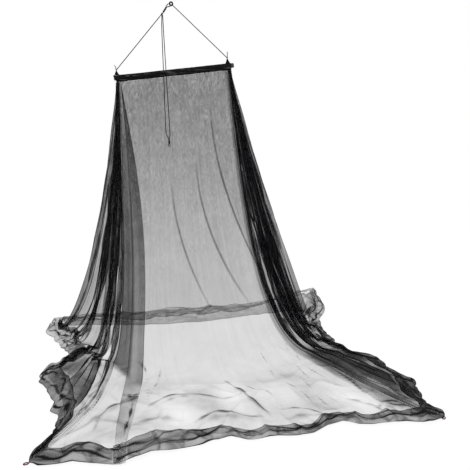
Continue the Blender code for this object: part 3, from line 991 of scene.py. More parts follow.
    def barrel(self) -> Piece:
        """The stopper: a turned barrel with a rim, a waist and a sprung button on top."""
        half = self.stopper_height / 2
        bm = bmesh.new()
        line = []
        for wide, high in self.profile:
            line.append(bm.verts.new((max(self.stopper_radius * wide, 0.0008), 0.0, half * high)))
        edges = [bm.edges.new(pair) for pair in zip(line, line[1:])]
        turn = {"cent": (0, 0, 0), "axis": (0, 0, 1), "angle": 2 * math.pi, "steps": 40}
        bmesh.ops.spin(bm, geom=line + edges, use_merge=True, use_duplicate=False, **turn)
        bmesh.ops.remove_doubles(bm, verts=bm.verts, dist=1e-6)
        closed_up(bm)
        bmesh.ops.translate(bm, verts=bm.verts, vec=self.stopper)
        bm.loops.layers.uv.new("Flat")
        return add_piece("stopper_barrel", bm, self.finishes.plastic, "cord_stopper")


# The bar with its sleeve and tabs


@dataclass
class BarAndSleeve:
    """The painted bar, its wrinkled cloth sleeve, the sleeve's stitching and the two pulled-up tabs."""

    finishes: Finishes
    left: float = -0.393
    right: float = 0.388
    wrinkle: float = 0.0022
    slant: float = 0.018  # how much further in the lower edge of its left end lies
    girth: float = 0.112
    steps: int = 260  # along the sleeve
    tied: float = 0.09  # share of its length at each end that its ties draw into folds
    tab_thickness: float = 0.0036
    tab_foot: float = 0.038
    tab_crown: float = 0.008

    def build(self) -> Piece:
        """Makes the sleeve and tabs, and dresses the bar.

        Returns:
            The sleeve.
        """
        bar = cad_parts["spreader_bar"]
        bar.data.materials.clear()
        bar.data.materials.append(self.finishes.bar)
        sleeve = self.sleeve()
        self.tab("tab_peak_left", "hanging_tab_left", -0.3700, -0.3710, 0.026)
        self.tab("tab_peak_right", "hanging_tab_right", 0.3660, 0.3630, 0.028)
        self.stitching()
        log.info("bar, sleeve and tabs")
        return sleeve

    def outline(self, segments: int) -> Grid:
        """The sleeve's drop-shaped section, as places across and above the bar's axis.

        Args:
            segments: steps round its upper part.

        Returns:
            One row for each place.
        """
        tangent = math.acos(BAR_RADIUS / SLEEVE_DROP)
        arc = 2 * (math.pi - tangent)
        angle = math.pi / 2 - arc / 2 + arc * np.linspace(0, 1, segments + 1)
        rim = np.stack((np.cos(angle), np.sin(angle)), axis=-1) * BAR_RADIUS
        point = np.array([[0.0, -SLEEVE_DROP]])
        sides = 4
        down = [mixed(rim[-1], point[0], step / sides) for step in range(1, sides + 1)]
        back = [mixed(point[0], rim[0], step / sides) for step in range(1, sides + 1)]
        return np.concatenate((rim, np.array(down), np.array(back)))

    def sleeve(self) -> Piece:
        """The sleeve, a thin closed tube of cloth that wrinkles toward its tied ends."""
        outline = self.outline(36)
        along = np.linspace(self.left, self.right, self.steps + 1)
        share = np.linspace(0, 1, self.steps + 1)
        ends = np.exp(-((share / self.tied) ** 2)) + np.exp(-(((1 - share) / self.tied) ** 2))
        places = np.zeros((self.steps + 1, len(outline), 3))
        start = np.array(BAR_CENTRE)
        for row, x in enumerate(along):
            centre = start + np.array(BAR_AXIS) * ((x - BAR_CENTRE.x) / BAR_AXIS.x)
            drawn_in = self.slant * max(1 - share[row] / 0.06, 0.0)
            for column, (y, z) in enumerate(outline):
                out = np.array((y, z)) / max(math.hypot(y, z), 1e-6)
                around = column / len(outline)
                slow = noise.noise(Vector((x * 9, around * 3, 0.3)))
                fold = abs(noise.noise(Vector((x * 42 + around * 2.2, around * 4.0, 2.0))))
                rise = self.wrinkle * (0.35 * slow + (0.5 + 1.2 * ends[row]) * (0.5 - fold))
                lift = max(rise, -0.0004)
                wide, high = y + out[0] * lift, z + out[1] * lift
                inward = np.array(BAR_AXIS) * drawn_in * (BAR_RADIUS - z) / (BAR_RADIUS + SLEEVE_DROP)
                places[row, column] = centre + np.array((0.0, -wide, 0.0)) + np.array(BAR_UP) * high + inward
        girth = np.linspace(0, self.girth, len(outline))
        flat = np.stack(np.broadcast_arrays(along[:, None], girth[None, :]), axis=-1)
        bm = mapped_grid(places, flat, merged=True)
        bmesh.ops.recalc_face_normals(bm, faces=bm.faces)
        piece = add_piece("sleeve_cloth", bm, self.finishes.band, "bar_sleeve")
        return piece

    def tab(self, name: str, node: str, middle: float, peak: float, height: float) -> None:
        """A peak of sleeve cloth pulled up by its tie, with folds that run to its tip.

        Args:
            name: the piece's name.
            node: the solid that it stands for.
            middle: its middle along X.
            peak: its tip along X.
            height: from its foot to its tip.
        """
        rows, columns = 24, 48
        share = np.linspace(0, 1, rows + 1)[:, None]
        turn = np.linspace(0, 2 * math.pi, columns + 1)
        turn[-1] = 0.0
        turn = turn[None, :]
        half = mixed(self.tab_foot / 2, self.tab_crown / 2, share**0.55)
        pleat = 1 + 0.10 * np.cos(turn * 9 + share * 3.0) * np.sin(math.pi * np.clip(share, 0.05, 0.95))
        x = middle + mixed(0.0, peak - middle, share) + half * np.cos(turn) * pleat
        y = self.tab_thickness / 2 * np.sin(turn) * pleat * 1.15
        foot = axis_z(middle) + (BAR_RADIUS + 0.0009) / math.cos(BAR_TILT)
        z = foot + height * share + (x - middle) * math.tan(BAR_TILT) * (1 - share)
        places = np.stack(np.broadcast_arrays(x, y, z), axis=-1)
        flat = np.stack(np.broadcast_arrays(turn / (2 * math.pi) * 0.076, share * height), axis=-1)
        bm = closed_up(mapped_grid(places, flat, merged=True))
        piece = add_piece(name, bm, self.finishes.band, node)

    def stitching(self) -> None:
        """Two rows of stitches, along the sleeve's closing seam on its front and its rear."""
        step, length, thread = 0.0042, 0.0030, 0.00035
        ends = {"cap_ends": True, "segments": 5}
        turned = BAR_AXIS.to_track_quat("Z", "Y").to_matrix()
        bm = bmesh.new()
        count = int((self.right - self.left - 0.01) / step)
        for side in (-1, 1):
            for index in range(count):
                x = self.left + 0.005 + index * step
                centre = BAR_CENTRE + BAR_AXIS * ((x - BAR_CENTRE.x) / BAR_AXIS.x)
                place = centre - BAR_UP * (SLEEVE_DROP - 0.0050) + Vector((0.0, side * 0.0042, 0.0))
                made = bmesh.ops.create_cone(bm, radius1=thread, radius2=thread, depth=length, **ends)["verts"]
                bmesh.ops.rotate(bm, verts=made, cent=(0, 0, 0), matrix=turned)
                bmesh.ops.translate(bm, verts=made, vec=place)
        bm.loops.layers.uv.new("Flat")
        add_piece("sleeve_stitches", bm, self.finishes.rope)


# The net


@dataclass(frozen=True)
class Rib:
    """One rib of a panel, in the same terms as its solid.

    columns: steps from this rib to the next. top, touch and hem: places seen from above. sag: how
    steeply it hangs. taut: 0 hangs like a chain, 1 runs straight. roll: size of the rolled hem. lump:
    height of the crumpled cloth on the floor. bend: how far its run over the floor swings to the right
    half way out. bow: how far it swings to the right half way down. proud: how far it stands in front of
    its neighbours. lift: height of its hem.
    """

    columns: float
    top_x: float
    top_y: float
    touch_x: float
    touch_y: float
    hem_x: float
    hem_y: float
    sag: float
    taut: float
    roll: float
    lump: float
    bend: float = 0.0
    bow: float = 0.0
    proud: float = 0.0
    lift: float = 0.0


@dataclass(frozen=True)
class Pleats:
    """One set of pleats that runs down a gathered side.

    count: pleats across the panel. top, middle, low and hem: their depth at those heights. drift: how far
    they slip across on the way down. lean: how far a pleat folds over its neighbour.
    """

    count: float
    top: float
    middle: float
    low: float
    hem: float
    drift: float
    lean: float
    phase: float


@dataclass(frozen=True)
class Crease:
    """A fine crease in a hanging panel, from one place along X and share of the way down to another.

    width: half of its width. depth: how far it stands out. dark: how much cloth it holds gathered.
    """

    start_x: float
    start_down: float
    end_x: float
    end_down: float
    width: float
    depth: float
    dark: float


@dataclass(frozen=True)
class Fold:
    """A fold laid in the cloth on the floor, as a curve through a few places seen from above.

    width: half of its width. height: how high it stands. dark: how much cloth it holds gathered along its middle, and
    how much painted shade lies broad round it.
    """

    places: tuple[tuple[float, float], ...]
    width: float
    height: float
    dark: float


@dataclass(frozen=True)
class Drawn:
    """A strip of a panel whose cloth is drawn together into fine folds.

    start and end: its edges, as shares of the panel's width. top, low, floor and hem: how many times the
    cloth is gathered at the seam, just over the floor, on the floor and in the rolled hem.
    """

    start: float
    end: float
    top: float
    low: float
    floor: float
    hem: float


@dataclass(frozen=True)
class HemLine:
    """A dark line along the hem, where its layers are stitched or folded.

    down: where it runs down the panel. width: half of its width, and wander: how far it strays, in the
    same terms. dark: how much cloth it gathers.
    """

    down: float
    width: float
    wander: float
    dark: float


HEM_ROLL = np.array((  # how far in from the hem's edge its roll lies, and how high, for a roll of 1
    (0.16, 0.001), (0.05, 0.001), (0.0, 0.014), (0.03, 0.031), (0.12, 0.03), (0.165, 0.023), (0.14, 0.015),
    (0.045, 0.0165),
))
HEM_LINES = (
    HemLine(1.8, 0.012, 0.01, 40.0),
    HemLine(1.5, 0.01, 0.02, 22.0),
    HemLine(1.62, 0.008, 0.1, 32.0),
    HemLine(1.71, 0.008, 0.13, 28.0),
)
FRONT_WAVES = np.array((  # along X, and how much further out the front hem lies there than its ribs say
    (-0.79, 0.0), (-0.735, 0.03), (-0.66, 0.023), (-0.585, 0.009), (-0.512, 0.027), (-0.437, 0.04), (-0.36, 0.038),
    (-0.285, 0.007), (-0.21, -0.007), (-0.13, 0.014), (-0.05, 0.027), (0.03, 0.034), (0.115, 0.02),
    (0.195, -0.018), (0.27, -0.005), (0.35, -0.013), (0.437, -0.018), (0.525, 0.0), (0.615, 0.012),
    (0.705, -0.014), (0.795, -0.024), (0.885, 0.018), (0.972, 0.03), (1.06, 0.02), (1.15, 0.014), (1.24, 0.03),
    (1.31, 0.018), (1.35, 0.0),
))
MAIN_PLEATS = 4.5
MAIN_DEPTH = np.array((0.016, 0.06, 0.066, 0.03))
MAIN_FADE = 0.1

FRONT_RIBS = (
    Rib(4, -0.3565, -0.0009, -0.47, -0.53, -0.79, -1.41, 2.7, 0.0, 0.6, 0.02, bend=0.105),
    Rib(2, -0.352, -0.0009, -0.33, -0.74, -0.375, -1.44, 2.7, 0.0, 0.65, 0.004, bend=-0.01, bow=0.05),
    Rib(2, -0.348, -0.0009, -0.28, -0.8, -0.345, -1.44, 2.7, 0.0, 0.65, 0.004, bend=0.008, bow=0.086, proud=0.001),
    Rib(2, -0.3465, -0.0009, -0.38, -0.79, -0.385, -1.45, 2.7, 0.0, 0.65, 0.004, bow=0.03, proud=0.014),
    Rib(4, -0.305, -0.0009, -0.2, -0.82, -0.18, -1.42, 2.7, 0.0, 0.65, 0.02, bow=0.03, proud=0.006),
    Rib(4, -0.12, -0.0009, 0.05, -0.86, 0.12, -1.36, 2.7, 0.0, 0.45, 0.035),
    Rib(3, 0.08, -0.0009, 0.28, -0.88, 0.34, -1.43, 2.7, 0.0, 0.4, 0.02),
    Rib(3, 0.2, -0.0009, 0.48, -0.86, 0.65, -1.38, 2.7, 0.0, 0.4, 0.03),
    Rib(4, 0.295, -0.0009, 0.66, -0.78, 0.96, -1.37, 2.7, 0.0, 0.5, 0.02, bend=-0.03),
    Rib(0, 0.3665, -0.0009, 0.815, -0.595, 1.35, -1.395, 2.5, 0.0, 0.7, 0.015, bend=-0.06),
)
REAR_RIBS = (
    Rib(4, 0.358, 0.0009, 0.925, 0.05, 1.135, 0.273, 1.2, 0.9, 0.5, 0.115, lift=0.085),
    Rib(4, 0.22, 0.0009, 0.5, 0.01, 0.62, 0.2, 2.2, 0.2, 0.9, 0.012),
    Rib(4, 0.02, 0.0009, 0.12, -0.04, 0.2, 0.18, 2.6, 0.0, 1.1, 0.012),
    Rib(4, -0.2, 0.0009, -0.34, -0.02, -0.38, 0.17, 2.6, 0.0, 0.9, 0.012),
    Rib(0, -0.348, 0.0009, -0.86, 0.05, -0.985, 0.175, 1.9, 0.25, 0.6, 0.07),
)
LEFT_RIBS = (
    Rib(6, -0.358, 0.013, -0.8612, 0.0488, -0.9862, 0.1738, 1.9, 0.25, 0.6, 0.07),
    Rib(6, -0.3583, 0.007, -0.77, -0.1, -0.88, -0.2, 2.0, 0.2, 0.7, 0.05),
    Rib(6, -0.3586, 0.001, -0.64, -0.28, -0.7, -0.44, 2.4, 0.0, 0.7, 0.02),
    Rib(6, -0.359, -0.005, -0.57, -0.42, -0.855, -0.7, 2.5, 0.0, 0.8, 0.07, bend=0.02),
    Rib(6, -0.3595, -0.011, -0.52, -0.5, -0.69, -1.09, 2.6, 0.0, 0.7, 0.04, bend=0.07),
    Rib(0, -0.36, -0.017, -0.4715, -0.5295, -0.7915, -1.409, 2.7, 0.0, 0.6, 0.02, bend=0.105),
)
RIGHT_RIBS = (
    Rib(6, 0.368, 0.013, 0.9262, 0.0488, 1.1362, 0.2718, 1.2, 0.9, 0.5, 0.115, lift=0.085),
    Rib(6, 0.3683, 0.007, 0.9, -0.14, 1.03, -0.22, 1.4, 0.7, 0.6, 0.02),
    Rib(6, 0.3686, 0.001, 0.89, -0.34, 1.03, -0.55, 1.8, 0.5, 0.7, 0.04),
    Rib(6, 0.369, -0.005, 0.88, -0.48, 1.225, -0.84, 2.1, 0.3, 0.7, 0.03, bend=-0.02),
    Rib(6, 0.3695, -0.011, 0.85, -0.56, 1.3, -1.13, 2.4, 0.1, 0.7, 0.02, bend=-0.04),
    Rib(0, 0.37, -0.017, 0.8175, -0.5925, 1.3525, -1.3925, 2.5, 0.0, 0.7, 0.015, bend=-0.06),
)

SIDE_PLEATS = (
    Pleats(11, 0.004, 0.022, 0.022, 0.006, 0.05, 0.5, 0.4),
    Pleats(19, 0.003, 0.012, 0.01, 0.001, -0.07, 0.4, 1.9),
    Pleats(31, 0.002, 0.005, 0.004, 0.0, 0.04, 0.3, 4.1),
)
FLAT_PLEATS = (
    Pleats(7, 0.001, 0.004, 0.006, 0.0, 0.03, 0.0, 0.7),
    Pleats(17, 0.001, 0.002, 0.002, 0.0, -0.04, 0.0, 2.2),
)
LEFT_DRAWN = (
    Drawn(-0.02, 0.3, 3.2, 4.2, 2.0, 0.6),
    Drawn(0.3, 0.42, 3.2, 4.4, 3.0, 1.0),
    Drawn(0.42, 0.84, 1.5, 1.8, 5.0, 1.4),
    Drawn(0.84, 1.02, 2.2, 2.4, 1.8, 3.2),
    Drawn(0.93, 1.02, 3.0, 4.0, 1.0, 1.0),
)
RIGHT_DRAWN = (
    Drawn(-0.02, 0.2, 3.0, 3.2, 3.0, 0.9),
    Drawn(0.2, 0.5, 3.0, 5.0, 4.5, 1.6),
    Drawn(0.5, 1.02, 3.0, 6.0, 8.0, 3.0),
    Drawn(0.93, 1.02, 6.0, 5.0, 1.0, 1.0),
)
FRONT_DRAWN = (
    Drawn(-0.02, 0.115, 0.8, 6.0, 1.0, 1.0),
    Drawn(0.145, 0.285, 1.2, 1.6, 0.5, 0.3),
    Drawn(0.945, 1.02, 1.8, 3.4, 4.0, 1.8),
)
FRONT_FOLDS = (
    Fold(((-0.376, -0.939), (-0.329, -0.956), (-0.284, -0.953)), 0.007, 0.004, 20.0),
    Fold(((-0.278, -0.95), (-0.349, -1.01), (-0.454, -1.067), (-0.51, -1.23)), 0.012, 0.012, 17.1),
    Fold(((-0.315, -1.024), (-0.325, -1.146), (-0.345, -1.3)), 0.008, 0.006, 14.2),
    Fold(((-0.431, -0.655), (-0.352, -0.632), (-0.275, -0.667), (-0.247, -0.805),
          (-0.224, -1.092)), 0.005, 0.006, 11.4),
    Fold(((-0.156, -0.684), (-0.187, -0.836), (-0.221, -0.972)), 0.005, 0.004, 9.9),
    Fold(((-0.224, -1.092), (-0.169, -1.046), (-0.084, -1.012), (0.057, -1.042),
          (0.19, -1.08)), 0.012, 0.014, 12.8),
    Fold(((0.15, -1.085), (0.288, -1.048), (0.34, -1.01)), 0.005, 0.006, 9.9),
    Fold(((0.229, -0.876), (0.286, -0.989), (0.347, -1.114), (0.43, -1.262)), 0.014, 0.014, 20.0),
    Fold(((0.008, -1.254), (0.071, -1.206), (0.146, -1.174), (0.252, -1.207), (0.38, -1.26)), 0.012, 0.012, 17.1),
    Fold(((0.684, -0.418), (0.695, -0.678), (0.735, -0.973), (0.83, -1.2)), 0.005, 0.005, 11.4),
    Fold(((0.742, -0.502), (0.743, -0.702), (0.778, -0.852), (0.847, -0.995), (0.905, -1.202)), 0.005, 0.005, 11.4),
    Fold(((0.679, -0.927), (0.732, -1.119), (0.79, -1.292)), 0.005, 0.005, 9.9),
    Fold(((0.304, -0.871), (0.37, -0.986), (0.453, -1.048), (0.506, -1.197)), 0.005, 0.006, 8.6),
    Fold(((0.462, -0.596), (0.519, -0.742), (0.535, -0.927)), 0.004, 0.004, 8.6),
    Fold(((0.546, -0.96), (0.64, -1.066), (0.69, -1.216)), 0.005, 0.005, 8.6),
    Fold(((0.496, -1.213), (0.599, -1.211), (0.741, -1.302)), 0.006, 0.008, 14.2),
    Fold(((1.029, -1.284), (1.076, -1.218), (1.175, -1.214), (1.285, -1.259), (1.348, -1.358)), 0.012, 0.014, 20.0),
    Fold(((0.793, -0.524), (0.906, -0.824), (1.006, -1.101), (1.141, -1.247), (1.33, -1.385)), 0.014, 0.008, 20.0),
    Fold(((-0.458, -0.305), (-0.475, -0.503), (-0.485, -0.737), (-0.511, -0.938), (-0.571, -1.11),
          (-0.652, -1.242)), 0.009, 0.008, 22.8),
    Fold(((0.04, -1.275), (0.13, -1.225), (0.23, -1.225), (0.33, -1.275)), 0.036, 0.012, 3.2),
    Fold(((-0.15, -1.075), (-0.06, -1.035), (0.05, -1.055)), 0.02, 0.01, 3.2),
    Fold(((0.27, -0.96), (0.33, -1.08), (0.4, -1.23)), 0.024, 0.014, 3.6),
    Fold(((1.06, -1.3), (1.13, -1.27), (1.23, -1.29), (1.31, -1.35)), 0.044, 0.02, 4.0),
    Fold(((0.5, -1.295), (0.62, -1.275), (0.76, -1.32), (0.85, -1.345)), 0.026, 0.012, 4.0),
    Fold(((-0.56, -1.2), (-0.45, -1.09), (-0.33, -0.99)), 0.026, 0.012, 3.2),
    Fold(((-0.33, -1.24), (-0.18, -1.2), (-0.06, -1.235)), 0.03, 0.012, 2.8),
    Fold(((0.86, -1.15), (0.96, -1.23), (1.06, -1.25)), 0.024, 0.012, 2.8),
)
LEFT_FOLDS = (
    Fold(((-0.872, -0.605), (-0.793, -0.534), (-0.65, -0.531), (-0.458, -0.547)), 0.016, 0.03, 6.0),
    Fold(((-0.794, -1.405), (-0.739, -1.296), (-0.708, -1.131), (-0.677, -1.006),
          (-0.603, -0.876)), 0.022, 0.02, 9.0),
    Fold(((-0.799, -0.557), (-0.678, -0.68), (-0.728, -0.77), (-0.653, -0.843)), 0.006, 0.008, 6.0),
    Fold(((-0.798, -0.706), (-0.75, -0.839), (-0.7, -0.962)), 0.006, 0.006, 6.0),
    Fold(((-0.654, -0.833), (-0.69, -0.991), (-0.658, -1.085)), 0.006, 0.006, 6.0),
    Fold(((-0.494, -0.852), (-0.572, -0.934), (-0.611, -1.117)), 0.007, 0.008, 7.0),
    Fold(((-0.478, -0.807), (-0.509, -0.895), (-0.549, -1.026), (-0.606, -1.118)), 0.008, 0.01, 8.0),
    Fold(((-0.746, -0.767), (-0.661, -0.748), (-0.549, -0.848), (-0.497, -0.846)), 0.007, 0.008, 6.0),
    Fold(((-0.963, 0.01), (-0.855, -0.192), (-0.741, -0.35), (-0.677, -0.386)), 0.01, 0.012, 5.0),
)
RIGHT_FOLDS = (
    Fold(((0.921, -0.529), (1.013, -0.804), (1.141, -1.049), (1.345, -1.385)), 0.016, 0.01, 8.0),
    Fold(((0.86, -0.5), (0.96, -0.83), (1.08, -1.12), (1.33, -1.385)), 0.014, 0.008, 6.0),
    Fold(((0.98, -0.48), (1.08, -0.74), (1.21, -1.01), (1.35, -1.37)), 0.014, 0.01, 6.0),
)
FRONT_CREASES = (
    Crease(-0.04, 0.34, 0.19, 0.76, 0.0045, 0.004, 7.0),
    Crease(0.13, 0.28, 0.46, 0.76, 0.0045, 0.005, 8.0),
    Crease(0.24, 0.1, 0.64, 0.72, 0.005, 0.005, 8.0),
)
WIDE_FORMS = ((0.035, 0.016), (0.04, 0.018), (0.045, 0.02))  # width and depth of the swell under each crease
WIDE_CREASES = tuple(
    replace(crease, width=width, depth=depth, dark=0.0) for crease, (width, depth) in zip(FRONT_CREASES, WIDE_FORMS)
)

STREAKS = 70.0  # long thin folds across a panel
SEAM_MARGIN = 0.03  # share of a panel beside its seams in which folds and crumples fade out
PUFF = 0.030  # how far a puff moves the cloth, in metres
RIDGE = 0.022  # height of the ridges between puffs
FACET = 0.020  # height of a facet's middle over its edges
FACET_EDGE = 0.075  # width of the crease round a facet, as a share of it
FOLD_COVER = 0.010  # layers that a bend adds for each unit of its curve
MOST_SLANT = 0.3  # the cosine at which cloth counts as edge-on, and gets no darker
FOLD_STEPS = 40  # along a laid fold
CREASE_SWEEP = 1.9  # how much a crease bends towards the upright on its way down
SEAM_FADE = np.array((1.0, 0.87, 0.69, 0.55, 0.47, 0.40, 0.20, 0.2, 0.2, 0.2))  # gathers from the seam down
ROLL_START = 1.27  # the place down a panel where its hem starts to roll
ROLLED = 1.29  # and where it counts as rolled


def noise_rows(across: Grid, down: Grid, layer: float, every: int) -> Grid:
    """Noise at each row and column, read on some of the rows and held between them.

    Args:
        across: where each column reads it.
        down: where each row does.
        layer: its third coordinate.
        every: rows from one that is read to the next.

    Returns:
        Rows by columns.
    """
    read = np.array([[noise.noise(Vector((a, d, layer))) for a in across] for d in down[::every]])
    rows = np.rint(np.arange(len(down)) / every).astype(int)
    return read[np.minimum(rows, len(read) - 1)]


@dataclass
class NetPanel:
    """One panel of the net, drawn as a thin sheet through its ribs, with its pleats, creases and crumples."""

    name: str
    node: str
    side: Side
    ribs: tuple[Rib, ...]
    flat: tuple[float, float]
    area: float
    fineness: int = 12  # columns to each step of its ribs
    hang_rows: int = 90
    floor_rows: int = 150
    main_pleats: bool = False
    pleats: tuple[Pleats, ...] = ()
    creases: tuple[Crease, ...] = ()
    laid: tuple[Fold, ...] = ()
    drawn: tuple[Drawn, ...] = ()
    top_gather: float = 5.0  # how many layers of net its gathers hold at the seam
    hem_gather: float = 2.6  # how many times darker its rolled hem is
    edge_on: float = 1.0  # how much a fold darkens where it turns edge-on to the photograph's camera place
    streak_depth: float = 0.2
    waves: Grid | None = None  # how far its hem swings out along X
    crease_dark: float = 5.0  # how much cloth the creases between crumples gather
    calm: float = 0.04  # how much of that shows away from the hem
    facets: float = 7.0  # across a metre
    puffs: float = 4.0  # across a metre

    def build(self, finishes: Finishes, hangs_from: list[Piece]) -> Piece:
        """Makes the panel.

        Args:
            finishes: the canopy's finishes.
            hangs_from: what holds it; not used.

        Returns:
            The piece.
        """
        across, down = self.grid()
        ribs = self.rib_rows(across)
        places = self.hang(ribs, down)
        smooth = self.turned_away(places)
        outward = np.array(self.side.value)
        lying = np.clip(down * 1.25 - 0.5, 0, 1)[:, None, None]
        front = mixed(outward, np.array((0.0, 0.0, 1.0)), lying)
        front = front / np.linalg.norm(front, axis=-1, keepdims=True)
        places = places + front * (ribs["proud"][None, :] * (0.3 + 0.7 * np.minimum(down, 1))[:, None])[:, :, None]
        standing, dark = self.folds(places, across, down)
        places = places + outward * standing[:, :, None]
        shift = np.tan(BAR_TILT) * outward[0] * standing
        places[:, :, 2] += shift * np.maximum(1 - down, 0)[:, None]
        if self.pleats and self.main_pleats:
            places = self.lean(places, across, down)
        for fold in self.laid:
            raised, held = self.laid_fold(places, fold)
            places[:, :, 2] += raised * inner(across, SEAM_MARGIN)[None, :]
            dark += held
        if self.main_pleats:
            places = self.joined(places, down, outward)
        places, creased = self.crumpled(places, across, down)
        places[:, :, 2] = np.maximum(places[:, :, 2], FLOOR_Z + LIE)
        drawn = self.drawing(across, down)
        # The net's cover: its layers of cloth, with the painted shade of the floor cloth and round the laid folds.
        cover_and_shade = self.layers_with_floor_shade(places, across, down) * drawn + dark
        cover_and_shade = cover_and_shade + (creased + self.bending(places)) * np.minimum(drawn, 1)
        cover_and_shade = cover_and_shade * self.thinned(places, down)
        away = self.turned_away(places)
        cover_and_shade = cover_and_shade * (away / (1.5 if self.main_pleats else smooth)) ** (self.edge_on * np.minimum(drawn, 1))
        piece = add_piece(self.name, self.mesh(places, cover_and_shade, across, down), finishes.net, self.node)
        log.info("%s: %d faces", self.name, len(piece.data.polygons))
        return piece

    def thinned(self, places: Grid, down: Grid) -> Grid:
        """How much of its cover the hem keeps where its columns stand close and show over each other.

        Args:
            places: the panel's places.
            down: places down it.

        Returns:
            The share that is kept at each point.
        """
        nose = places[np.abs(down - HEM_NOSE).argmin(), :, :2]
        crowd = (np.linalg.norm(nose[:, None] - nose[None, :], axis=-1) < 0.012).sum(axis=1)
        kept = np.clip(np.median(crowd) / crowd, 0.12, 1) ** 0.38
        return mixed(1.0, kept[None, :], np.clip((down - 1.25) / 0.05, 0, 1)[:, None])

    def joined(self, places: Grid, down: Grid, outward: Grid) -> Grid:
        """A side panel with its front edge brought up to the front panel's, where the seam closes them.

        Args:
            places: the panel's places.
            down: places down it.
            outward: the way its outer face looks.

        Returns:
            The places.
        """
        reach = np.zeros(places.shape[1])
        reach[-4:] = (0.002, 0.005, 0.009, 0.0095)
        places[:, :, 0] -= outward[0] * reach[None, :] * (1 - 0.7 * np.clip((down - 1) / 0.1, 0, 1))[:, None]
        return places

    def turned_away(self, places: Grid) -> Grid:
        """How much thicker the cloth shows at each point for its slant to the photograph's camera place.

        It is worked out once, from that fixed place, and kept on the mesh. It doesn't follow another camera,
        so from other sides the net is darker where its folds turn edge-on to the photograph's camera.

        Args:
            places: the panel's places.

        Returns:
            1 where the cloth faces the camera, and more where it slants.
        """
        across = np.gradient(places, axis=1)
        normal = np.cross(np.gradient(places, axis=0), across)
        normal = normal / np.maximum(np.linalg.norm(normal, axis=-1, keepdims=True), 1e-9)
        sight = places - np.array(CAMERA_PLACE)
        sight = sight / np.linalg.norm(sight, axis=-1, keepdims=True)
        return 1 / np.maximum(np.abs((normal * sight).sum(axis=-1)), MOST_SLANT)

    def laid_fold(self, places: Grid, fold: Fold) -> tuple[Grid, Grid]:
        """How high a fold stands at each point of the panel, and how much cloth it gathers there, with painted shade
        round it.

        Args:
            places: the panel's places.
            fold: the fold.

        Returns:
            Its height, and how dark it makes the net, with the painted shade.
        """
        curve = smooth_curve(np.array(fold.places), np.linspace(0, len(fold.places) - 1, FOLD_STEPS + 1))
        seen = places[:, :, :2]
        reach = fold.width * 3.5
        near = ((seen > curve.min(axis=0) - reach) & (seen < curve.max(axis=0) + reach)).all(axis=-1)
        near &= places[:, :, 2] < FLOOR_Z + 0.10
        ridge = np.zeros(places.shape[:2])
        if near.any():
            gaps = np.linalg.norm(seen[near][:, None, :] - curve[None, :, :], axis=-1)
            along = gaps.argmin(axis=1) / FOLD_STEPS
            taper = np.sin(math.pi * np.clip(along * 0.94 + 0.03, 0, 1)) ** 0.5
            uneven = 0.75 + 0.25 * np.sin(along * 17.0 + fold.dark)
            ridge[near] = np.exp(-((gaps.min(axis=1) / (fold.width * uneven)) ** 2)) * taper * uneven
        # ridge**3 gives the cloth gathered in a thin line along the fold; ridge * 0.12 is painted shade, broad and
        # soft round it.
        return ridge * fold.height, (ridge**3 + ridge * 0.12) * fold.dark

    def drawing(self, across: Grid, down: Grid) -> Grid:
        """How many times the cloth is gathered where strips of it are drawn together, in long streaks.

        Args:
            across: shares across it.
            down: places down it.

        Returns:
            How many times, at each point.
        """
        times = np.ones((len(down), len(across)))
        for strip in self.drawn:
            rise = np.clip((across - strip.start) / 0.02, 0, 1) * np.clip((strip.end - across) / 0.02, 0, 1)
            level = mixed(strip.top, strip.low, np.sin(np.minimum(down, 1) * math.pi / 2))
            level = mixed(level, strip.floor, np.clip((down - 1.0) / 0.04, 0, 1))
            level = mixed(level, strip.hem, np.clip((down - ROLL_START) / 0.04, 0, 1))
            times += (level - 1)[:, None] * rise[None, :]
        streaks = noise_rows(across * STREAKS, down * 1.3, 4.0, 6)
        return times * np.clip(1 + streaks * self.streak_depth, 0.25, 2.6)

    def grid(self) -> tuple[Grid, Grid]:
        """Shares across the panel and places down it: 0 at the seam, 1 at the floor and 2 at the hem's edge."""
        columns = int(sum(rib.columns for rib in self.ribs) * self.fineness)
        hang = np.interp(np.linspace(0, 1, self.hang_rows + 1), (0.0, 0.62, 1.0), (0.0, 0.80, 1.0))
        floor = 1 + np.interp(np.linspace(0, 1, self.floor_rows + 1)[1:], (0.0, 0.52, 1.0), (0.0, 0.3, 1.0))
        return np.linspace(0, 1, columns + 1), np.concatenate((hang, floor))

    def rib_rows(self, across: Grid) -> dict[str, Grid]:
        """Every rib value at each share across the panel.

        Args:
            across: shares across it.

        Returns:
            The values, by the rib's own names.
        """
        steps = np.array([rib.columns for rib in self.ribs[:-1]], float)
        starts = np.concatenate(([0.0], np.cumsum(steps)))
        column = across * starts[-1]
        row = np.clip(np.searchsorted(starts, column, side="right") - 1, 0, len(steps) - 1)
        place = row + (column - starts[row]) / steps[row]
        names = [field.name for field in fields(Rib)]
        table = np.array([[getattr(rib, name) for name in names] for rib in self.ribs])
        return dict(zip(names, smooth_curve(table, place).T))

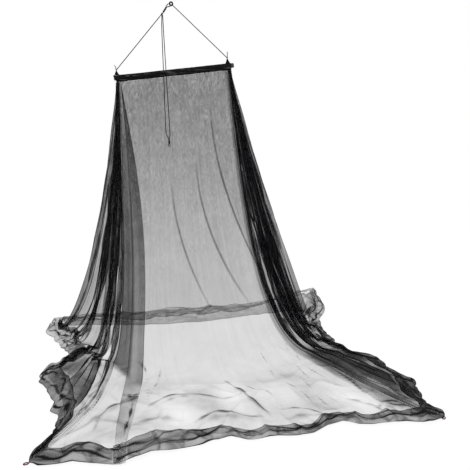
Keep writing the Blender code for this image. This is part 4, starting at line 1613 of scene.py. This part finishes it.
    def hang(self, ribs: dict[str, Grid], down: Grid) -> Grid:
        """The panel's own shape: each rib hangs to the floor and runs out over it to its rolled hem.

        Args:
            ribs: rib values at each column.
            down: places down the panel.

        Returns:
            Rows by columns by 3.
        """
        hanging = down[down <= 1][:, None]
        sag, taut = ribs["sag"][None, :], ribs["taut"][None, :]
        reach = 1 - np.arcsinh((1 - hanging) * np.sinh(sag)) / sag
        rise = (np.cosh(sag * (1 - reach)) - 1) / (np.cosh(sag) - 1)
        reach, rise = mixed(reach, hanging, taut), mixed(rise, 1 - hanging, taut)
        x = mixed(ribs["top_x"], ribs["touch_x"], reach) + ribs["bow"] * np.sin(math.pi * hanging)
        y = mixed(ribs["top_y"], ribs["touch_y"], reach)
        z = mixed(FLOOR_Z + LIE, seam_z(ribs["top_x"]), rise)
        upper = np.stack((x, y, z), axis=-1)

        run_x, run_y = ribs["hem_x"] - ribs["touch_x"], ribs["hem_y"] - ribs["touch_y"]
        run = np.hypot(run_x, run_y)
        flat = np.maximum(run - HEM_ROLL[0, 0] * ribs["roll"], 0.02)
        lump, lift = ribs["lump"], ribs["lift"]
        path = [
            np.stack((run * 0, run * 0 + LIE), axis=-1),
            np.stack((flat * 0.35, LIE + lump), axis=-1),
            np.stack((flat * 0.70, LIE + lump * 0.5 + lift * 0.4), axis=-1),
        ]
        for back, raised in HEM_ROLL:
            path.append(np.stack((run - back * ribs["roll"], LIE + lift + raised * ribs["roll"]), axis=-1))
        lying = down[down > 1] - 1
        section = smooth_curve(np.array(path), lying * (len(path) - 1))
        swing = ribs["bend"] * np.sin(math.pi * np.minimum(section[:, :, 0] / run, 1))
        lower = np.stack(
            (
                ribs["touch_x"] + run_x / run * section[:, :, 0] + swing,
                ribs["touch_y"] + run_y / run * section[:, :, 0],
                FLOOR_Z + section[:, :, 1],
            ),
            axis=-1,
        )
        return np.concatenate((upper, lower))

    def folds(self, places: Grid, across: Grid, down: Grid) -> tuple[Grid, Grid]:
        """How far the cloth stands out in its pleats and creases, and how much cloth they gather.

        Args:
            places: the panel's places.
            across: shares across it.
            down: places down it.

        Returns:
            Both, at each point.
        """
        standing = np.zeros(places.shape[:2])
        dark = np.zeros(places.shape[:2])
        if self.main_pleats:
            depth = smooth_curve(MAIN_DEPTH, down * 1.5)[:, None]
            fade = inner(across, MAIN_FADE)[None, :]
            uneven = (across + 0.018 * np.sin(across * 9.0 + 1.0))[None, :]
            standing += depth * fade * (0.5 - 0.5 * np.cos(2 * math.pi * MAIN_PLEATS * uneven))
        if self.waves is not None:
            out = np.interp(places[:, :, 0], self.waves[:, 0], self.waves[:, 1])
            standing += out * np.clip((down - 1.1) / 0.3, 0, 1)[:, None] * inner(across, SEAM_MARGIN)[None, :]
        edge = inner(across, 0.05)[None, :]
        for pleats in self.pleats:
            depth = self.pleat_depth(pleats, down)
            standing += depth * edge * 0.5 * np.sin(self.pleat_turn(pleats, across, down))
        for crease in self.creases:
            share = (down - crease.start_down) / (crease.end_down - crease.start_down)
            inside = (share > 0) & (share < 1)
            share = np.clip(share, 0, 1)
            middle = mixed(crease.start_x, crease.end_x, share**CREASE_SWEEP)[:, None]
            ridge = np.exp(-(((places[:, :, 0] - middle) / crease.width) ** 2))
            ridge = ridge * (np.sin(math.pi * share) ** 0.6 * inside)[:, None]
            standing += crease.depth * ridge
            dark += crease.dark * ridge
        return standing, dark

    def pleat_depth(self, pleats: Pleats, down: Grid) -> Grid:
        """A set of pleats' depth at each row."""
        table = np.array((pleats.top, pleats.middle, pleats.low, pleats.hem))
        return smooth_curve(table, down * 1.5)[:, None]

    def pleat_turn(self, pleats: Pleats, across: Grid, down: Grid) -> Grid:
        """Where each point lies in its pleat, in radians, with pleats of uneven width that wander.

        Args:
            pleats: the set of pleats.
            across: shares across it.
            down: places down it.

        Returns:
            The turn at each point.
        """
        a, d = across[None, :], down[:, None]
        uneven = a + 0.35 / pleats.count * np.sin(a * 23.0 + pleats.phase * 3)
        wander = 0.3 / pleats.count * np.sin(d * 3.1 + a * 14.0 + pleats.phase)
        return 2 * math.pi * pleats.count * (uneven + pleats.drift * d + wander) + pleats.phase

    def lean(self, places: Grid, across: Grid, down: Grid) -> Grid:
        """Folds the pleats over their neighbours, along the panel.

        Args:
            places: the panel's places.
            across: shares across it.
            down: places down it.

        Returns:
            The places with their pleats folded.
        """
        along = np.gradient(places, axis=1)
        along[:, :, 2] = 0
        along = along / np.maximum(np.linalg.norm(along, axis=-1, keepdims=True), 1e-6)
        edge = inner(across, 0.06)[None, :]
        moved = np.zeros(places.shape[:2])
        for pleats in self.pleats:
            depth = self.pleat_depth(pleats, down)
            moved += depth * pleats.lean * edge * np.cos(self.pleat_turn(pleats, across, down) * 2)
        return places + along * moved[:, :, None]

    def crumpled(self, places: Grid, across: Grid, down: Grid) -> tuple[Grid, Grid]:
        """Crumples the cloth near and on the floor into puffs, by one field for every panel, with facets.

        Args:
            places: the panel's places.
            across: shares across it.
            down: places down it.

        Returns:
            The crumpled places, and how much cloth the creases between facets gather.
        """
        low = np.clip((places[:, :, 2] - FLOOR_Z) / 0.5, 0, 1)
        hem = np.clip((down - 1.0) / 0.5, 0, 1)[:, None]
        weight = (1 - low) ** 2 * (0.15 + 0.85 * hem)
        weight = weight * inner(across, SEAM_MARGIN)[None, :]
        nose = np.exp(-(((down - 1.48) / 0.07) ** 2))  # where the hem's roll lies on the floor
        start, depth = (1.0, 0.15) if self.main_pleats else (ROLL_START, 0.04)
        held = (1 - low) ** 2 * (self.calm + (1 - self.calm) * np.clip((down - start) / depth, 0, 1)[:, None])
        made = places.copy()
        creased = np.zeros(places.shape[:2])
        for row in range(places.shape[0]):
            if down[row] < 0.7:
                continue
            for column in range(places.shape[1]):
                amount = weight[row, column]
                if amount < 0.01:
                    continue
                place = Vector(places[row, column])
                broad = noise.noise_vector(place * self.puffs)
                ridge = 1 - abs(noise.noise(place * (self.puffs + 1) + Vector((0.0, 0.0, 5.0)))) * 2.4
                cell = Vector((place.x, place.y, place.z * 1.5 + down[row] * 0.12)) * self.facets + broad * 0.7
                near = noise.voronoi(cell)[0]
                facet = near[1] - near[0]
                move = broad * PUFF
                move.z = abs(broad.z) * PUFF + max(ridge, 0.0) ** 2 * RIDGE + min(facet, 0.5) * FACET
                move.z *= 1 - nose[row] * 0.9
                made[row, column] += np.array(move) * amount
                creased[row, column] = math.exp(-((facet / FACET_EDGE) ** 2)) * held[row, column]
        return made, creased * self.crease_dark

    def layers_with_floor_shade(self, places: Grid, across: Grid, down: Grid) -> Grid:
        """How many smooth layers of net the cloth holds, from its gathered seam to the seams of its hem, with painted
        shade on the cloth that lies on the floor.

        Args:
            places: the panel's places.
            across: shares across it.
            down: places down it.

        Returns:
            The layers, with the painted shade, at each point.
        """
        cloth = np.maximum(smooth_curve(SEAM_FADE * self.top_gather, np.clip(down, 0, 1.8) * 5), 1.0)
        rolled = np.clip((down - ROLLED) / 0.03, 0, 1)
        layers = (cloth * (1 + (self.hem_gather - 1) * rolled))[:, None] * np.ones((1, len(across)))
        # Painted shade: the cloth that lies on the floor is darkened by about one more layer and by soft clouds of
        # noise, for the shade among its crumples and under the hanging net.
        lying = np.clip((down - 0.96) / 0.08, 0, 1) * np.clip((1.34 - down) / 0.06, 0, 1)
        painted_floor_shade = noise_rows(across * 9.0, down * 7.0, 8.0, 4)
        layers += lying[:, None] * np.clip(0.95 + painted_floor_shade * 2.2, -0.4, 2.8)
        gaps = np.linalg.norm(np.gradient(places[np.abs(down - HEM_NOSE).argmin()], axis=0), axis=-1)
        spread = np.clip(gaps / np.median(gaps), 0, 1) ** 2  # the lines fade where the hem doubles up
        for line in HEM_LINES:
            wander = np.array([noise.noise(Vector((a * 23.0, line.down * 9.0, 0.5))) for a in across])
            strength = np.clip(0.7 + wander[::-1] * 1.6, 0.1, 1.6) * line.dark * (self.hem_gather - 1) * spread
            offset = (down[:, None] - line.down - wander[None, :] * line.wander) / line.width
            layers += strength[None, :] * np.exp(-(offset**2)) * rolled[:, None]
        return layers

    def bending(self, places: Grid) -> Grid:
        """Extra cover where the net bends sharply, as its threads close up in a fold's edge.

        Args:
            places: the panel's places.

        Returns:
            The layers that it adds.
        """
        total = np.zeros(places.shape[:2])
        for axis in (0, 1):
            step = np.gradient(places, axis=axis)
            length = np.maximum(np.linalg.norm(step, axis=-1, keepdims=True), 5e-4)
            turn = np.gradient(step / length, axis=axis)
            total += np.linalg.norm(turn, axis=-1) / length[:, :, 0]
        return np.clip(total * FOLD_COVER - 0.1, 0, 2.5)

    def mesh(self, places: Grid, cover_and_shade: Grid, across: Grid, down: Grid) -> bmesh.types.BMesh:
        """Makes the mesh from its places, with its flat map and its two attributes.

        Args:
            places: the panel's places.
            cover_and_shade: how much cloth each point holds, with the painted shade of the floor cloth and round the
                laid folds.
            across: shares across it.
            down: places down it.

        Returns:
            The bmesh.
        """
        runs = np.linalg.norm(np.diff(places, axis=0), axis=-1)
        drop = np.concatenate((np.zeros((1, places.shape[1])), np.cumsum(runs, axis=0)))
        width = np.broadcast_to(across[None, :] * self.flat[0], drop.shape)
        bm = mapped_grid(places, np.stack((width, drop), axis=-1))
        # This attribute holds the cloth's layers and the painted shade together.
        held = bm.verts.layers.float.new("cover_and_shade")
        shine = bm.verts.layers.float.new("shimmer")
        seen = np.clip(1.15 - down * 1.25, 0, 1)
        for vert in bm.verts:
            row, column = divmod(vert.index, places.shape[1])
            vert[held] = float(cover_and_shade[row, column])
            vert[shine] = float(seen[row])
        return bm


@dataclass
class Canopy:
    """The net's four panels."""

    finishes: Finishes

    def build(self, hangs_from: list[Piece]) -> None:
        """Makes every panel.

        Args:
            hangs_from: what the panels hang from.
        """
        side = {
            "fineness": 11, "hang_rows": 110, "floor_rows": 110, "main_pleats": True, "pleats": SIDE_PLEATS,
            "top_gather": 2.6, "facets": 5.5, "puffs": 2.6, "calm": 0.4,
        }
        panels = (
            NetPanel(
                "net_front", "front_panel", Side.FRONT, FRONT_RIBS, (2.0, 2.9), 4.4, pleats=FLAT_PLEATS,
                creases=WIDE_CREASES + FRONT_CREASES, waves=FRONT_WAVES, laid=FRONT_FOLDS, drawn=FRONT_DRAWN,
                streak_depth=0.12, hem_gather=3.4,
            ),
            NetPanel(
                "net_rear", "rear_panel", Side.REAR, REAR_RIBS, (2.0, 2.2), 3.1, fineness=16, hang_rows=80,
                floor_rows=60, pleats=FLAT_PLEATS, hem_gather=1.3, crease_dark=1.5,
            ),
            NetPanel(
                "net_left", "side_panel_left", Side.LEFT, LEFT_RIBS, (2.0, 2.6), 3.3, drawn=LEFT_DRAWN,
                laid=LEFT_FOLDS, streak_depth=0.28, edge_on=0.5, crease_dark=2.6, **side,
            ),
            NetPanel(
                "net_right", "side_panel_right", Side.RIGHT, RIGHT_RIBS, (2.0, 2.7), 3.5, drawn=RIGHT_DRAWN,
                laid=RIGHT_FOLDS, streak_depth=0.3, edge_on=0.65, crease_dark=3.5, **side,
            ),
        )
        for panel in panels:
            panel.build(self.finishes, hangs_from)


@dataclass
class CornerLoops:
    """Two oval loops of dark red cord that hang flat under the front corners of the rolled hem."""

    finishes: Finishes
    radius: float = 0.0080
    cord: float = 0.0058
    long: float = 1.4
    short: float = 0.8
    lift: float = 0.0021  # under the hem's roll

    def build(self) -> None:
        """Makes both loops."""
        height = FLOOR_Z + self.cord / 2 + self.lift
        self.loop("red_loop_left", "corner_loop_left", (-0.8020, -1.4080, height), 10.0)
        self.loop("red_loop_right", "corner_loop_right", (1.3550, -1.3870, height), 40.0)
        log.info("corner loops")

    def loop(self, name: str, node: str, centre: tuple, turn: float) -> None:
        """One loop.

        Args:
            name: the piece's name.
            node: the solid that it stands for.
            centre: its centre.
            turn: degrees that it is turned on the floor.
        """
        angle = np.linspace(0, 2 * math.pi, 193)
        x, y = np.cos(angle) * self.radius * self.long, np.sin(angle) * self.radius * self.short
        c, s = math.cos(math.radians(turn)), math.sin(math.radians(turn))
        points = np.stack((x * c - y * s, x * s + y * c, x * 0), axis=-1) + np.array(centre)
        bm = cord_mesh(points, self.cord / 2, 0.009, closed=True)
        add_piece(name, bm, self.finishes.red, node)


def main() -> None:
    """Builds the canopy's looks in order."""
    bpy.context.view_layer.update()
    noise.seed_set(CRUMPLE_SEED)
    Studio().build()
    finishes = make_finishes()
    HangingCords(finishes).build()
    sleeve = BarAndSleeve(finishes).build()
    Canopy(finishes).build([sleeve])
    CornerLoops(finishes).build()


if __name__ == "__main__":
    logging.basicConfig(level=logging.INFO)
    main()
